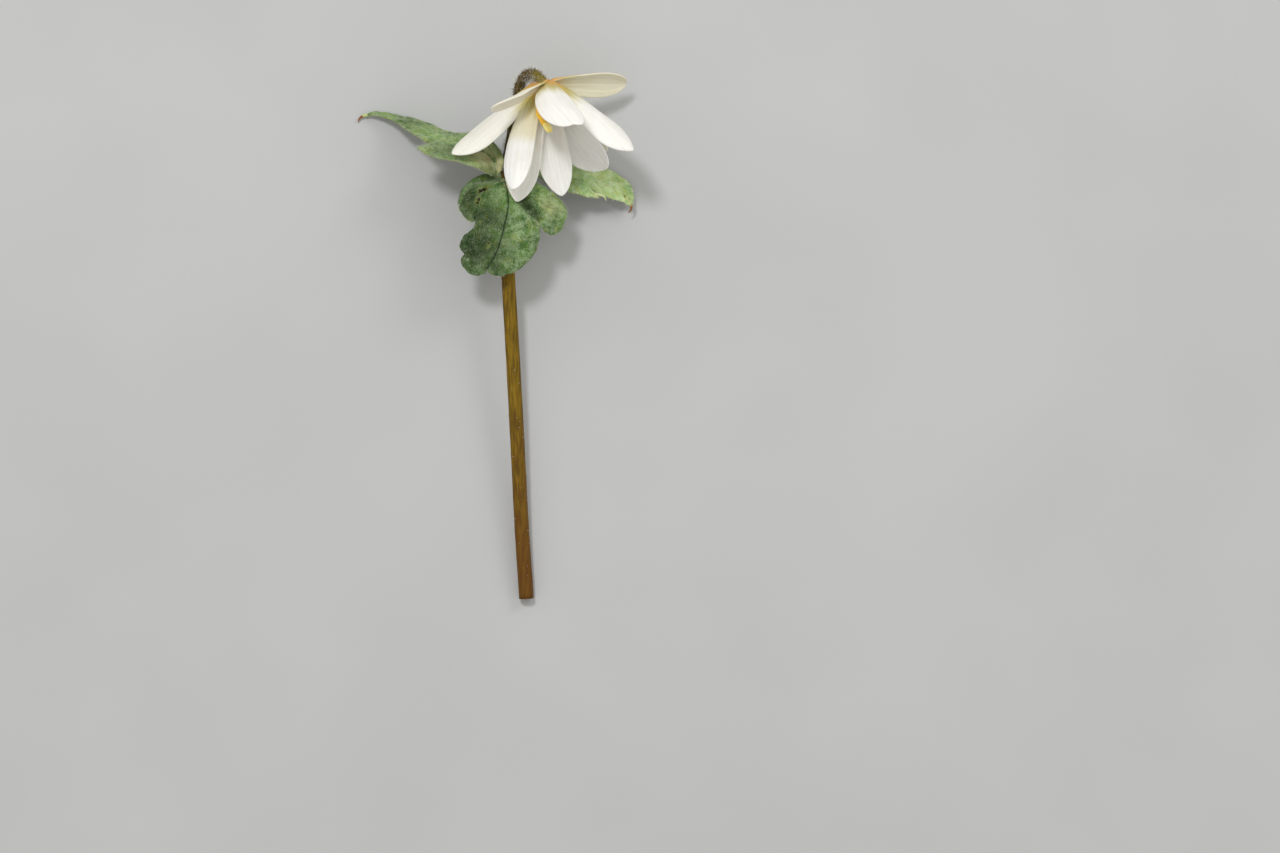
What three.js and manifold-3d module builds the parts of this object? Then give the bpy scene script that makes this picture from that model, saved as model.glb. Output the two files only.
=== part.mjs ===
// A picked anemone flower, lying on its side: one hairy stem that nods at its top,
// three lobed bracts, twelve tepals in two rings, a tuft of stamens and a head of carpels.
// Millimetres. +Z is up from the surface it lies on, and +Y runs along the stem to the flower.

import * as THREE from 'three';
import { mergeVertices } from 'three/addons/utils/BufferGeometryUtils.js';
import Module from 'manifold-3d';

const wasm = await Module();
wasm.setup();

// Where the bracts leave the stem, in the object's own frame
const NODE_X = 0.587;
const NODE_Y = 25.576;
const NODE_Z = 8;
const FLOOR = -NODE_Z;

// Thickness of every blade, and the clearance between a piece and what carries it
const BLADE = 0.6;
const SEAT_GAP = 0.3;

// Stem: x, y, z and radius from the cut end to the torus, measured from the node
const STEM = [
  [3.8, -69, -6.9, 1.2],
  [3.0, -57, -5.9, 1.18],
  [2.3, -43, -4.5, 1.16],
  [1.5, -28, -2.9, 1.14],
  [0.7, -14, -1.4, 1.12],
  [0.2, -4.0, -0.3, 1.15],
  [0, 0, 0, 1.5],
  [0.8, 2.4, 0.3, 1.15],
  [1.4, 5.6, 0.5, 1.05],
  [1.9, 9.5, 0.6, 1.05],
  [2.5, 13.0, 0.8, 1.05],
  [3.2, 15.1, 1.4, 1.05],
  [4.3, 16.3, 2.6, 1.08],
  [5.7, 16.8, 3.8, 1.15],
  [6.4, 16.6, 4.5, 1.35],
  [6.74, 16.0, 4.76, 1.45],
  [6.9, 15.2, 5.0, 1.4],
];
const STEM_SIDES = 10;
const RINGS_PER_SPAN = 3;

// Flower head: the middle of the torus end, the way the flower faces, and the two rings
// round it where the roots of the tepals stand
const HEAD = new THREE.Vector3(6.9, 15.2, 5.0);
const FACING = new THREE.Vector3(0.13, -0.95, 0.28).normalize();
const INNER = { radius: 2.1, height: -0.2 };
const OUTER = { radius: 2.45, height: -0.9 };

// Tepals: seat is where the root stands round the torus, toward and open are where the
// tip points (degrees), reach is from the head's middle to the tip, bow is the outward bulge
// of the midline, cup is how far the edges turn in, roll turns the blade about its length,
// point is how sharp its tip is, from 0.5 for a round one
const TEPALS = [
  { ring: INNER, seat: 10, toward: 12, open: 43, reach: 18.8,
    width: 5.4, bow: 0.6, cup: 0.4, roll: 40, point: 0.8 },
  { ring: INNER, seat: 58, toward: 78, open: 49, reach: 17.3,
    width: 6.8, bow: 0.9, cup: 0.3, roll: 0, point: 0.65 },
  { ring: INNER, seat: 158, toward: 172, open: 26, reach: 19.1,
    width: 4.9, bow: 0.6, cup: 0.4, roll: -45, point: 0.75 },
  { ring: INNER, seat: 215, toward: 211, open: 25, reach: 19.7,
    width: 5.2, bow: 0.4, cup: 0.4, roll: 34, point: 0.8 },
  { ring: INNER, seat: 268, toward: 272, open: 24, reach: 18.3,
    width: 5.5, bow: 0.5, cup: 0.5, roll: 0, point: 0.85 },
  { ring: INNER, seat: 322, toward: 315, open: 43, reach: 17.3,
    width: 6.0, bow: 0.3, cup: 0.4, roll: -12, point: 0.55 },
  { ring: OUTER, seat: 353, toward: 332, open: 93, reach: 15.7,
    width: 5.2, bow: 0.0, cup: 0.3, roll: -32, point: 0.6 },
  { ring: OUTER, seat: 317, toward: 302, open: 64, reach: 18.9,
    width: 4.2, bow: 0.4, cup: 0.3, roll: 0, point: 0.7 },
  { ring: OUTER, seat: 280, toward: 293, open: 50, reach: 17.9,
    width: 4.8, bow: -0.2, cup: 0.3, roll: 0, point: 0.6 },
  { ring: OUTER, seat: 243, toward: 249, open: 42, reach: 14.0,
    width: 4.4, bow: 0.6, cup: 0.4, roll: 0, point: 0.7 },
  { ring: OUTER, seat: 189, toward: 188, open: 61, reach: 18.9,
    width: 5.2, bow: -0.9, cup: 0.4, roll: -45, point: 0.75 },
  { ring: INNER, seat: 104, toward: 138, open: 64, reach: 14.8,
    width: 4.4, bow: -0.3, cup: 0.3, roll: -10, point: 0.6 },
];

// A tepal's outline: its width at the root as a share of its full width, how far along it is
// widest, and how fast it widens up to there
const ROOT_WIDTH = 0.24;
const WIDEST = 0.68;
const WIDENING = 1.2;

// Places along and across a tepal where its blade is divided
const TEPAL_ROWS = [0, 0.1, 0.22, 0.36, 0.5, 0.62, 0.74, 0.84, 0.92, 0.98, 1];
const TEPAL_COLUMNS = [-1, -0.55, 0, 0.55, 1];

// Stamens: a filament and an anther each, in a spiral on a disc at the torus end. The outer
// ones stand further out, lean more, and some of them are shorter.
const STAMENS = 30;
const STAMEN_REACH = 6.6;
const STAMEN_SEAT = { first: 1.0, last: 1.35 };
const STAMEN_LEAN = { first: 4, last: 18 };
const STAMEN_SHORTENING = 0.25;
const DISC = { foot: 1.4, top: 1.5, height: 0.8 };
const FILAMENT = { tip: 0.14, root: 0.2 };
const ANTHER = { radius: 0.36, stretch: 2.4 };

// Carpels: short beaks in a spiral over a small dome
const CARPELS = 13;
const DOME = { radius: 0.62, stretch: 1.5 };
const BEAK = { radius: 0.2, length: 1.0, sunk: 0.1 };
const GOLDEN_ANGLE = 137.508;

// Bracts: flat outlines, as across and along, from the bract's base. Each lobe has a vein
// from the base to its tip, and its two edges. An edge that starts at a sinus shares it with
// the next lobe.
const FRONT_BRACT = [
  {
    vein: [[0, 0], [-2.6, 2.6], [-5, 4.4], [-7.3, 5.7]],
    left: [[0, 0], [-1.6, 0.2], [-3.4, 0.9], [-5.3, 2.2], [-6.7, 3.9], [-7.3, 5.7]],
    right: [[-4.2, 6.4], [-4.6, 7.6], [-4.9, 8.6], [-5.8, 8.8], [-6.9, 7.6], [-7.3, 5.7]],
  },
  {
    vein: [[0, 0], [0.9, 5.0], [0.3, 9.0], [-0.8, 13.0], [-2.6, 16.6]],
    left: [[-4.2, 6.4], [-4.3, 7.6], [-4.3, 8.8], [-5.0, 10.0], [-6.4, 11.4], [-7.0, 13.2],
      [-6.2, 14.5], [-6.9, 15.6], [-6.1, 17.2], [-4.4, 17.9], [-3.0, 17.8], [-2.6, 16.6]],
    right: [[5.3, 8.6], [5.8, 9.8], [5.9, 11.4], [5.5, 13.4],
      [4.1, 15.4], [2.1, 16.9], [0.4, 17.5], [-1.2, 17.8], [-2.3, 17.6], [-2.6, 16.6]],
  },
  {
    vein: [[0, 0], [3.4, 3.2], [7, 5.6], [10.5, 7.4]],
    left: [[5.3, 8.6], [6.5, 9.8], [7.4, 11.2], [8.6, 11.4], [9.8, 10.0], [10.5, 7.4]],
    right: [[0, 0], [1.8, 0.2], [4.2, 0.8], [6.8, 1.8], [9.0, 3.2], [10.3, 5.2], [10.5, 7.4]],
  },
];

const LEFT_BRACT = [
  {
    vein: [[0, 0], [-1.2, 4], [-2.3, 8.2], [-3.6, 12.2]],
    left: [[0, 0], [-1.0, 0.6], [-2.1, 2.4], [-2.7, 4.8], [-3.0, 7.6], [-3.5, 10.2], [-3.6, 12.2]],
    right: [[-2.6, 10.8], [-2.9, 11.3], [-3.3, 11.8], [-3.6, 12.2]],
  },
  {
    vein: [[0, 0], [0, 9], [0, 18], [0, 27.6]],
    left: [[-2.6, 10.8], [-3.3, 12.8], [-3.9, 14.8], [-3.6, 17.2], [-2.8, 19.8], [-1.7, 22.6],
      [-0.8, 25.6], [0, 27.6]],
    right: [[3.5, 11.2], [4.4, 13.2], [3.7, 15.2], [3.3, 17.4], [2.9, 19.2], [1.8, 20.2],
      [1.4, 22.6], [0.7, 25.6], [0, 27.6]],
  },
  {
    vein: [[0, 0], [2.6, 4.6], [4.9, 8.6], [6.9, 12.2]],
    left: [[3.5, 11.2], [4.7, 11.9], [5.8, 12.2], [6.9, 12.2]],
    right: [[0, 0], [2.0, 0.6], [4.4, 2.4], [6.2, 4.8], [7.0, 7.4], [7.5, 9.4], [7.5, 11.2],
      [6.9, 12.2]],
  },
];

const RIGHT_BRACT = [
  {
    vein: [[0, 0], [-1.8, 5], [-3.8, 10], [-5.6, 14.6]],
    left: [[0, 0], [-0.9, 0.8], [-2.3, 3.0], [-4.2, 5.8], [-5.6, 9.0], [-6.1, 12.2], [-5.6, 14.6]],
    right: [[-2.6, 12.2], [-3.5, 13.2], [-4.4, 14.2], [-5.6, 14.6]],
  },
  {
    vein: [[0, 0], [0, 8], [0, 16], [0, 23.4]],
    left: [[-2.6, 12.2], [-3.3, 14.2], [-3.4, 16.4], [-2.9, 18.4], [-2.6, 20.4], [-1.6, 22.2],
      [0, 23.4]],
    right: [[2.2, 15.2], [2.6, 16.6], [2.5, 18.4], [2.2, 20.0], [1.4, 21.4], [0.7, 22.6], [0, 23.4]],
  },
  {
    vein: [[0, 0], [1.6, 5.5], [2.8, 11], [3.5, 17.2]],
    left: [[2.2, 15.2], [2.8, 16.0], [3.1, 16.8], [3.5, 17.2]],
    right: [[0, 0], [1.2, 1.0], [2.6, 3.0], [4.2, 6.2], [4.9, 9.6], [4.6, 13], [4.2, 15.4],
      [3.5, 17.2]],
  },
];

// Midlines of the bracts in space, from the node. The sides of the front bract hang by droop
// times the square of their distance, and a valley runs down it to its right sinus. The halves
// of a side bract lean out of the upright by these degrees, from base to tip.
const FRONT_MIDLINE = [[0, -0.4, 1.9], [0, -0.8, 3.2], [0, -2.2, 4.6], [0, -4.8, 5.4],
  [0, -8.6, 5.3], [0, -12.4, 4.4], [0, -16.2, 3.0]];
const FRONT_DROOP = 0.038;
const FRONT_VALLEY = { start: [1.4, 5.0], end: [5.3, 8.6], width: 0.9, depth: 0.9 };
const LEFT_MIDLINE = [[-1.0, 0.4, 2.3], [-1.8, 2.7, 2.3], [-3.7, 4.5, 1.6], [-8.4, 6.3, -1.6],
  [-13, 8.3, -4.6], [-17, 9.8, -6.3], [-21.3, 10.6, -7.2], [-24.7, 9.2, -7.5]];
const LEFT_LEAN = { near: [40, 30, 26, 24, 24], far: [85, 50, 14, 18, 20] };
const RIGHT_MIDLINE = [[1.7, 0.2, -0.6], [3.4, 2.0, -1.8], [6, 2.6, -3.1], [10, 1.8, -4.1],
  [14, 0.4, -4.7], [17, -0.9, -5.1], [19.6, -2.4, -5.4], [21.3, -4.6, -5.9]];
const RIGHT_LEAN = { near: [50, 50, 50, 50, 50], far: [40, 44, 46, 48, 48] };

// How many rows run from a lobe's base to its tip, how many of them lie below its sinus, and
// how many columns run from its vein to its edge
const LOBE_ROWS = 14;
const SINUS_ROWS = 4;
const LOBE_COLUMNS = 3;

const GREEN = { color: 0x5b8050, roughness: 0.75 };
const OLIVE = { color: 0x79672d, roughness: 0.6 };
const WHITE = { color: 0xf4f2ec, roughness: 0.6 };
const YELLOW = { color: 0xe8b51f, roughness: 0.6 };
const LIME = { color: 0x9aa83a, roughness: 0.6 };

// An open surface of triangles, whose equal points are shared
class Sheet {
  constructor() {
    this.points = [];
    this.faces = [];
    this.known = new Map();
  }

  point(position) {
    const cells = position.toArray().map((value) => Math.round(value / Sheet.CELL));
    const key = cells.join(' ');
    if (!this.known.has(key)) {
      this.known.set(key, this.points.length);
      this.points.push(position);
    }
    return this.known.get(key);
  }

  triangle(a, b, c) {
    if (a !== b && b !== c && c !== a) {
      this.faces.push([a, b, c]);
    }
  }

  // Joins a grid of positions, rows by columns, facing the other way where flipped
  grid(rows, flipped = false) {
    const ids = rows.map((row) => row.map((position) => this.point(position)));
    for (let i = 1; i < ids.length; i += 1) {
      for (let j = 1; j < ids[i].length; j += 1) {
        const corners = [ids[i - 1][j - 1], ids[i - 1][j], ids[i][j], ids[i][j - 1]];
        const [a, b, c, d] = flipped ? corners.reverse() : corners;
        this.triangle(a, b, c);
        this.triangle(a, c, d);
      }
    }
  }
}

// Points closer than this, in millimetres, are one point
Sheet.CELL = 0.0002;

function surfaceNormals(sheet) {
  const normals = sheet.points.map(() => new THREE.Vector3());
  for (const face of sheet.faces) {
    const [a, b, c] = face.map((id) => sheet.points[id]);
    const normal = b.clone().sub(a).cross(c.clone().sub(a));
    face.forEach((id) => normals[id].add(normal));
  }
  return normals.map((normal) => normal.normalize());
}

// Edges that only one triangle uses, in that triangle's direction
function rimEdges(sheet) {
  const used = new Set(sheet.faces.flatMap(([a, b, c]) => [`${a} ${b}`, `${b} ${c}`, `${c} ${a}`]));
  const pairs = [...used].map((key) => key.split(' ').map(Number));
  return pairs.filter(([a, b]) => !used.has(`${b} ${a}`));
}

function solidGeometry(corners, triangles) {
  const geometry = new THREE.BufferGeometry().setFromPoints(corners);
  geometry.setIndex(triangles);
  return geometry;
}

// What would reach below the floor is pressed flat on it
function pressOn(floor, corners) {
  corners.forEach((corner) => {
    corner.z = Math.max(corner.z, floor);
  });
}

// The closed solid of a sheet: both faces half a blade away, and a wall along the rim
function thicken(sheet, floor = -Infinity) {
  const normals = surfaceNormals(sheet);
  const count = sheet.points.length;
  const moved = (by) => sheet.points.map((point, id) => point.clone().addScaledVector(normals[id], by));
  const corners = [...moved(BLADE / 2), ...moved(-BLADE / 2)];
  pressOn(floor, corners);
  const triangles = sheet.faces.flatMap(([a, b, c]) => [a, b, c, a + count, c + count, b + count]);
  for (const [a, b] of rimEdges(sheet)) {
    triangles.push(a + count, b + count, b, a + count, b, a);
  }
  return solidGeometry(corners, triangles);
}

// Reads a list of values, spaced evenly over 0 to 1, with straight lines between them
function valueAt(values, place) {
  const position = THREE.MathUtils.clamp(place, 0, 1) * (values.length - 1);
  const index = Math.min(Math.floor(position), values.length - 2);
  return THREE.MathUtils.lerp(values[index], values[index + 1], position - index);
}

function spaceCurve(points) {
  return new THREE.CatmullRomCurve3(points.map((point) => new THREE.Vector3(...point)));
}

function flatCurve(points) {
  return new THREE.SplineCurve(points.map((point) => new THREE.Vector2(...point)));
}

// Rings of a tube whose radius changes along its line, kept free of twist
function tubeRings(stations) {
  const centres = spaceCurve(stations);
  const radii = spaceCurve(stations.map((station) => [station[3], 0, 0]));
  const count = (stations.length - 1) * RINGS_PER_SPAN;
  const side = new THREE.Vector3(1, 0, 0);
  const rings = [];
  for (let i = 0; i <= count; i += 1) {
    const centre = centres.getPoint(i / count);
    const tangent = centres.getTangent(i / count);
    side.addScaledVector(tangent, -side.dot(tangent)).normalize();
    const up = tangent.clone().cross(side);
    const radius = radii.getPoint(i / count).x;
    const ring = [];
    for (let k = 0; k < STEM_SIDES; k += 1) {
      const angle = (2 * Math.PI * (k + 0.5)) / STEM_SIDES + Math.PI / 2;
      const corner = centre.clone().addScaledVector(side, radius * Math.cos(angle));
      ring.push(corner.addScaledVector(up, radius * Math.sin(angle)));
    }
    rings.push(ring);
  }
  return rings;
}

// The stem, cut flat at its foot and pressed lightly on the surface there
function stemGeometry() {
  const rings = tubeRings(STEM);
  const corners = rings.flat();
  pressOn(FLOOR, corners);
  const triangles = [];
  for (let i = 1; i < rings.length; i += 1) {
    for (let k = 0; k < STEM_SIDES; k += 1) {
      const next = (k + 1) % STEM_SIDES;
      const [a, b] = [(i - 1) * STEM_SIDES + k, (i - 1) * STEM_SIDES + next];
      const [c, d] = [i * STEM_SIDES + next, i * STEM_SIDES + k];
      triangles.push(a, b, c, a, c, d);
    }
  }
  const last = (rings.length - 1) * STEM_SIDES;
  for (let k = 1; k < STEM_SIDES - 1; k += 1) {
    triangles.push(0, k + 1, k, last, last + k, last + k + 1);
  }
  return solidGeometry(corners, triangles);
}

// One lobe's half: straight rows from its vein to its edge
function addHalfLobe(sheet, vein, edgeAt, place) {
  const rows = [];
  for (let i = 0; i <= LOBE_ROWS; i += 1) {
    const root = vein.getPoint(i / LOBE_ROWS);
    const rim = edgeAt(i);
    const row = [];
    for (let j = 0; j <= LOBE_COLUMNS; j += 1) {
      row.push(place(root.clone().lerp(rim, j / LOBE_COLUMNS)));
    }
    rows.push(row);
  }
  const heading = vein.getPoint(1).sub(vein.getPoint(0));
  const outward = edgeAt(LOBE_ROWS / 2).sub(vein.getPoint(0.5));
  sheet.grid(rows, heading.cross(outward) > 0);
}

// The edge of a half lobe by row: from the base to the sinus, and from there to the tip, or
// where the bract's own outer edge starts at the base, straight along it
function edgeReader(points) {
  const edge = flatCurve(points);
  const start = edge.getPoint(0);
  const startsAtBase = start.length() === 0;
  return (row) => {
    if (startsAtBase) {
      return edge.getPoint(row / LOBE_ROWS);
    }
    if (row <= SINUS_ROWS) {
      return start.clone().multiplyScalar(row / SINUS_ROWS);
    }
    return edge.getPoint((row - SINUS_ROWS) / (LOBE_ROWS - SINUS_ROWS));
  };
}

function bractGeometry(lobes, place) {
  const sheet = new Sheet();
  for (const lobe of lobes) {
    const vein = flatCurve(lobe.vein);
    addHalfLobe(sheet, vein, edgeReader(lobe.left), place);
    addHalfLobe(sheet, vein, edgeReader(lobe.right), place);
  }
  return thicken(sheet, FLOOR);
}

// Position and direction on a midline, which runs on straight past its end
function onMidline(curve, length, along) {
  const place = THREE.MathUtils.clamp(along / length, 0, 1);
  const tangent = curve.getTangentAt(place);
  const position = curve.getPointAt(place).addScaledVector(tangent, along - place * length);
  return { place, position, tangent };
}

// How deep the front bract's valley is at a flat point
function valleyDepth(flat) {
  const start = new THREE.Vector2(...FRONT_VALLEY.start);
  const run = new THREE.Vector2(...FRONT_VALLEY.end).sub(start);
  const share = THREE.MathUtils.clamp(flat.clone().sub(start).dot(run) / run.lengthSq(), 0, 1);
  const distance = flat.distanceTo(start.addScaledVector(run, share));
  return FRONT_VALLEY.depth * Math.exp(-((distance / FRONT_VALLEY.width) ** 2));
}

// The front bract rises, bends over along the stem and hangs, its sides a little lower
function frontPlacer() {
  const curve = spaceCurve(FRONT_MIDLINE);
  const length = curve.getLength();
  return (flat) => {
    const { position, tangent } = onMidline(curve, length, flat.y);
    const face = tangent.clone().cross(new THREE.Vector3(1, 0, 0));
    position.x += flat.x;
    return position.addScaledVector(face, -FRONT_DROOP * flat.x * flat.x - valleyDepth(flat));
  };
}

// A side bract stands on edge: one half leans up and forward, the other down to the surface
function sidePlacer(midline, lean) {
  const curve = spaceCurve(midline);
  const length = curve.getLength();
  return (flat) => {
    const { place, position, tangent } = onMidline(curve, length, flat.y);
    const turn = Math.sign(tangent.x);
    const level = new THREE.Vector3(-tangent.y, tangent.x, 0).normalize().multiplyScalar(turn);
    const upright = level.clone().cross(tangent).multiplyScalar(-turn);
    const angle = THREE.MathUtils.degToRad(valueAt(flat.x > 0 ? lean.near : lean.far, place));
    position.addScaledVector(level, -flat.x * Math.sin(angle));
    return position.addScaledVector(upright, flat.x * Math.cos(angle));
  };
}

// Half the width of a tepal along its length, as a share of its widest half
function tepalOutline(place, point) {
  if (place < WIDEST) {
    const rise = Math.sin((Math.PI / 2) * (place / WIDEST)) ** WIDENING;
    return THREE.MathUtils.lerp(ROOT_WIDTH, 1, rise);
  }
  return Math.max(0, 1 - ((place - WIDEST) / (1 - WIDEST)) ** 2) ** point;
}

function radial(azimuth) {
  const angle = THREE.MathUtils.degToRad(azimuth);
  return new THREE.Vector3(Math.cos(angle), Math.sin(angle), 0);
}

// A tepal in the head's own frame, where +Z is the way that the flower faces
function tepalGeometry(tepal) {
  const opening = THREE.MathUtils.degToRad(tepal.open);
  const outward = radial(tepal.toward);
  const root = radial(tepal.seat).multiplyScalar(tepal.ring.radius).setZ(tepal.ring.height);
  const tip = outward.clone().multiplyScalar(tepal.reach * Math.sin(opening));
  tip.setZ(tepal.reach * Math.cos(opening));
  const heading = tip.clone().sub(root).normalize();
  const back = outward.multiplyScalar(Math.cos(opening)).setZ(-Math.sin(opening));
  back.addScaledVector(heading, -back.dot(heading)).normalize();
  back.applyAxisAngle(heading, THREE.MathUtils.degToRad(tepal.roll));
  const side = heading.clone().cross(back);
  const sheet = new Sheet();
  sheet.grid(TEPAL_ROWS.map((place) => {
    const half = (tepal.width / 2) * tepalOutline(place, tepal.point);
    const bulge = 4 * tepal.bow * place * (1 - place);
    const middle = root.clone().lerp(tip, place).addScaledVector(back, bulge);
    return TEPAL_COLUMNS.map((across) => {
      const point = middle.clone().addScaledVector(side, half * across);
      return point.addScaledVector(back, -tepal.cup * half * across * across);
    });
  }));
  return thicken(sheet);
}

// Closed geometry to a manifold solid and back
function toSolid(geometry) {
  const bare = geometry.clone();
  bare.deleteAttribute('normal');
  bare.deleteAttribute('uv');
  const merged = mergeVertices(bare, 1e-4);
  return new wasm.Manifold(new wasm.Mesh({
    numProp: 3,
    vertProperties: new Float32Array(merged.getAttribute('position').array),
    triVerts: new Uint32Array(merged.getIndex().array),
  }));
}

function fromSolid(solid) {
  const mesh = solid.getMesh();
  const geometry = new THREE.BufferGeometry();
  geometry.setAttribute('position', new THREE.BufferAttribute(new Float32Array(mesh.vertProperties), 3));
  geometry.setIndex(new THREE.BufferAttribute(new Uint32Array(mesh.triVerts), 1));
  return geometry;
}

function joined(geometries) {
  return fromSolid(geometries.map(toSolid).reduce((whole, part) => whole.add(part)));
}

// Turns a geometry made along +Y so that it stands on root and points along heading
function standing(geometry, root, heading) {
  const turn = new THREE.Quaternion().setFromUnitVectors(new THREE.Vector3(0, 1, 0), heading);
  return geometry.applyQuaternion(turn).translate(root.x, root.y, root.z);
}

function filamentGeometry(height) {
  return new THREE.CylinderGeometry(FILAMENT.tip, FILAMENT.root, height, 4).translate(0, height / 2, 0);
}

function antherGeometry(height) {
  const half = ANTHER.radius * ANTHER.stretch;
  const anther = new THREE.SphereGeometry(ANTHER.radius, 5, 4).scale(1, ANTHER.stretch, 1);
  return anther.translate(0, height + 0.6 * half, 0);
}

function stamensGeometry() {
  const disc = new THREE.CylinderGeometry(DISC.top, DISC.foot, DISC.height, 12).rotateX(Math.PI / 2);
  const parts = [disc.translate(0, 0, SEAT_GAP + DISC.height / 2)];
  for (let k = 0; k < STAMENS; k += 1) {
    const share = k / (STAMENS - 1);
    const outward = radial(k * GOLDEN_ANGLE);
    const seat = THREE.MathUtils.lerp(STAMEN_SEAT.first, STAMEN_SEAT.last, share);
    const root = outward.clone().multiplyScalar(seat).setZ(SEAT_GAP + 0.4 * DISC.height);
    const lean = THREE.MathUtils.degToRad(THREE.MathUtils.lerp(STAMEN_LEAN.first, STAMEN_LEAN.last, share));
    const heading = outward.multiplyScalar(Math.sin(lean)).setZ(Math.cos(lean));
    const reach = STAMEN_REACH * (1 - STAMEN_SHORTENING * share * (k % 3) * 0.5);
    const height = reach - 1.5 * ANTHER.radius * ANTHER.stretch;
    parts.push(standing(filamentGeometry(height), root, heading));
    parts.push(standing(antherGeometry(height), root, heading));
  }
  return joined(parts);
}

function carpelsGeometry() {
  const base = 2 * SEAT_GAP + DISC.height;
  const height = DOME.radius * DOME.stretch;
  const dome = new THREE.SphereGeometry(DOME.radius, 10, 8).scale(1, 1, DOME.stretch);
  const middle = new THREE.Vector3(0, 0, base + height);
  const parts = [dome.translate(middle.x, middle.y, middle.z)];
  for (let k = 0; k < CARPELS; k += 1) {
    const share = (k + 0.5) / CARPELS;
    const lean = Math.acos(1 - 1.25 * share);
    const heading = radial(k * GOLDEN_ANGLE).multiplyScalar(Math.sin(lean)).setZ(Math.cos(lean));
    const beak = new THREE.ConeGeometry(BEAK.radius, BEAK.length, 5);
    const root = middle.clone().addScaledVector(heading, DOME.radius / 2);
    parts.push(standing(beak.translate(0, BEAK.length / 2 - BEAK.sunk, 0), root, heading));
  }
  return joined(parts);
}

function named(name, geometry, look) {
  const material = new THREE.MeshStandardMaterial({ ...look, metalness: 0 });
  const mesh = new THREE.Mesh(geometry, material);
  mesh.name = name;
  return mesh;
}

// Tepals, stamens and carpels, in a group whose +Z is the way that the flower faces
function flowerHead() {
  const head = new THREE.Group();
  const right = new THREE.Vector3(1, 0, 0).addScaledVector(FACING, -FACING.x).normalize();
  const forward = FACING.clone().cross(right);
  head.quaternion.setFromRotationMatrix(new THREE.Matrix4().makeBasis(right, forward, FACING));
  head.position.copy(HEAD);
  TEPALS.forEach((tepal, index) => {
    const number = String(index + 1).padStart(2, '0');
    head.add(named(`tepal_${number}`, tepalGeometry(tepal), WHITE));
  });
  head.add(named('stamens', stamensGeometry(), YELLOW));
  head.add(named('carpels', carpelsGeometry(), LIME));
  return head;
}

const flower = new THREE.Group();
flower.position.set(NODE_X, NODE_Y, NODE_Z);
flower.add(named('stem', stemGeometry(), OLIVE));
flower.add(named('bract_front', bractGeometry(FRONT_BRACT, frontPlacer()), GREEN));
flower.add(named('bract_left', bractGeometry(LEFT_BRACT, sidePlacer(LEFT_MIDLINE, LEFT_LEAN)), GREEN));
flower.add(named('bract_right', bractGeometry(RIGHT_BRACT, sidePlacer(RIGHT_MIDLINE, RIGHT_LEAN)), GREEN));
flower.add(flowerHead());

export default flower;
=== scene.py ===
# The looks of a picked anemone flower that lies on its side.
# Shapes are worked out in millimetres from the node where the bracts leave the stem, with +Y
# along the stem to the flower and +Z up, and become metres when a piece is made.

import math

import bpy
import numpy as np
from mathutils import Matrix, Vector, noise
from mathutils.kdtree import KDTree


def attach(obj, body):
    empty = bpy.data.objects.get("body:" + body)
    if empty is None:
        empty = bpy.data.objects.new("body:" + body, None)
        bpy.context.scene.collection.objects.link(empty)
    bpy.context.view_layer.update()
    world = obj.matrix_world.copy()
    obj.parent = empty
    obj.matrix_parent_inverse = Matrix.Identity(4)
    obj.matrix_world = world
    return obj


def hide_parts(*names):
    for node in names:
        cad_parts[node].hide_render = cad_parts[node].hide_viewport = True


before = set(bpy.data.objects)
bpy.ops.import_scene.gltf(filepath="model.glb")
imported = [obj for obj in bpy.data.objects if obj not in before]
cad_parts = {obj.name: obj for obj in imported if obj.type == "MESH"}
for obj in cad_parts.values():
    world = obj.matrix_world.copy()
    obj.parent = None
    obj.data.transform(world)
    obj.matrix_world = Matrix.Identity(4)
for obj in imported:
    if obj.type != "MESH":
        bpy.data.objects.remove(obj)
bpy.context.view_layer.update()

MM = 0.001
WELD_GAP = 0.0005
EDGE_WIDTH = 0.3
LINE_SAMPLES = 600
NODE = np.array([0.587, 25.576, 8.0])
GOLDEN_ANGLE = 137.508
UP = np.array([0, 0, 1])
dice = np.random.default_rng(7)

# Stem: x, y, z and radius from the cut end to the torus
STEM = [
    [3.8, -69, -6.9, 1.2],
    [3.0, -57, -5.9, 1.18],
    [2.3, -43, -4.5, 1.16],
    [1.5, -28, -2.9, 1.14],
    [0.7, -14, -1.4, 1.12],
    [0.2, -4.0, -0.3, 1.15],
    [0, 0, 0, 1.5],
    [0.8, 2.4, 0.3, 1.15],
    [1.4, 5.6, 0.5, 1.05],
    [1.9, 9.5, 0.6, 0.96],
    [2.4, 12.6, 0.8, 0.86],
    [2.7, 14.9, 1.3, 0.84],
    [3.5, 16.5, 2.2, 0.84],
    [4.6, 17.0, 3.4, 0.85],
    [5.5, 16.7, 4.2, 0.85],
    [6.1, 16.1, 4.7, 0.85],
    [6.6, 15.4, 4.9, 0.95],
]
STEM_SPANS = len(STEM) - 1
NODE_STATION = 6
STEM_SIDES = 36
RINGS_PER_SPAN = 14

# Low ridges round the stem: their number, their share of its radius, and their turn. Then its
# slight unevenness, as height and closeness.
RIDGES = ((9, 0.022, 0), (14, 0.014, 1))
WOBBLE = ((0.035, 0.5),)

# The stem's hairs: how many there are to a millimetre, at these stations of the stem, and
# their usual lengths on the pedicel and below the node
HAIR_STATIONS = [0, 5.4, 6.0, 6.6, 8, 10, 12.5, 14, 15, 16]
HAIR_DENSITY = [1.5, 2.5, 24, 24, 30, 55, 115, 140, 130, 70]
PEDICEL_HAIR, SCAPE_HAIR, STEM_HAIR_WIDTH = 0.9, 0.5, 0.058

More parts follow.
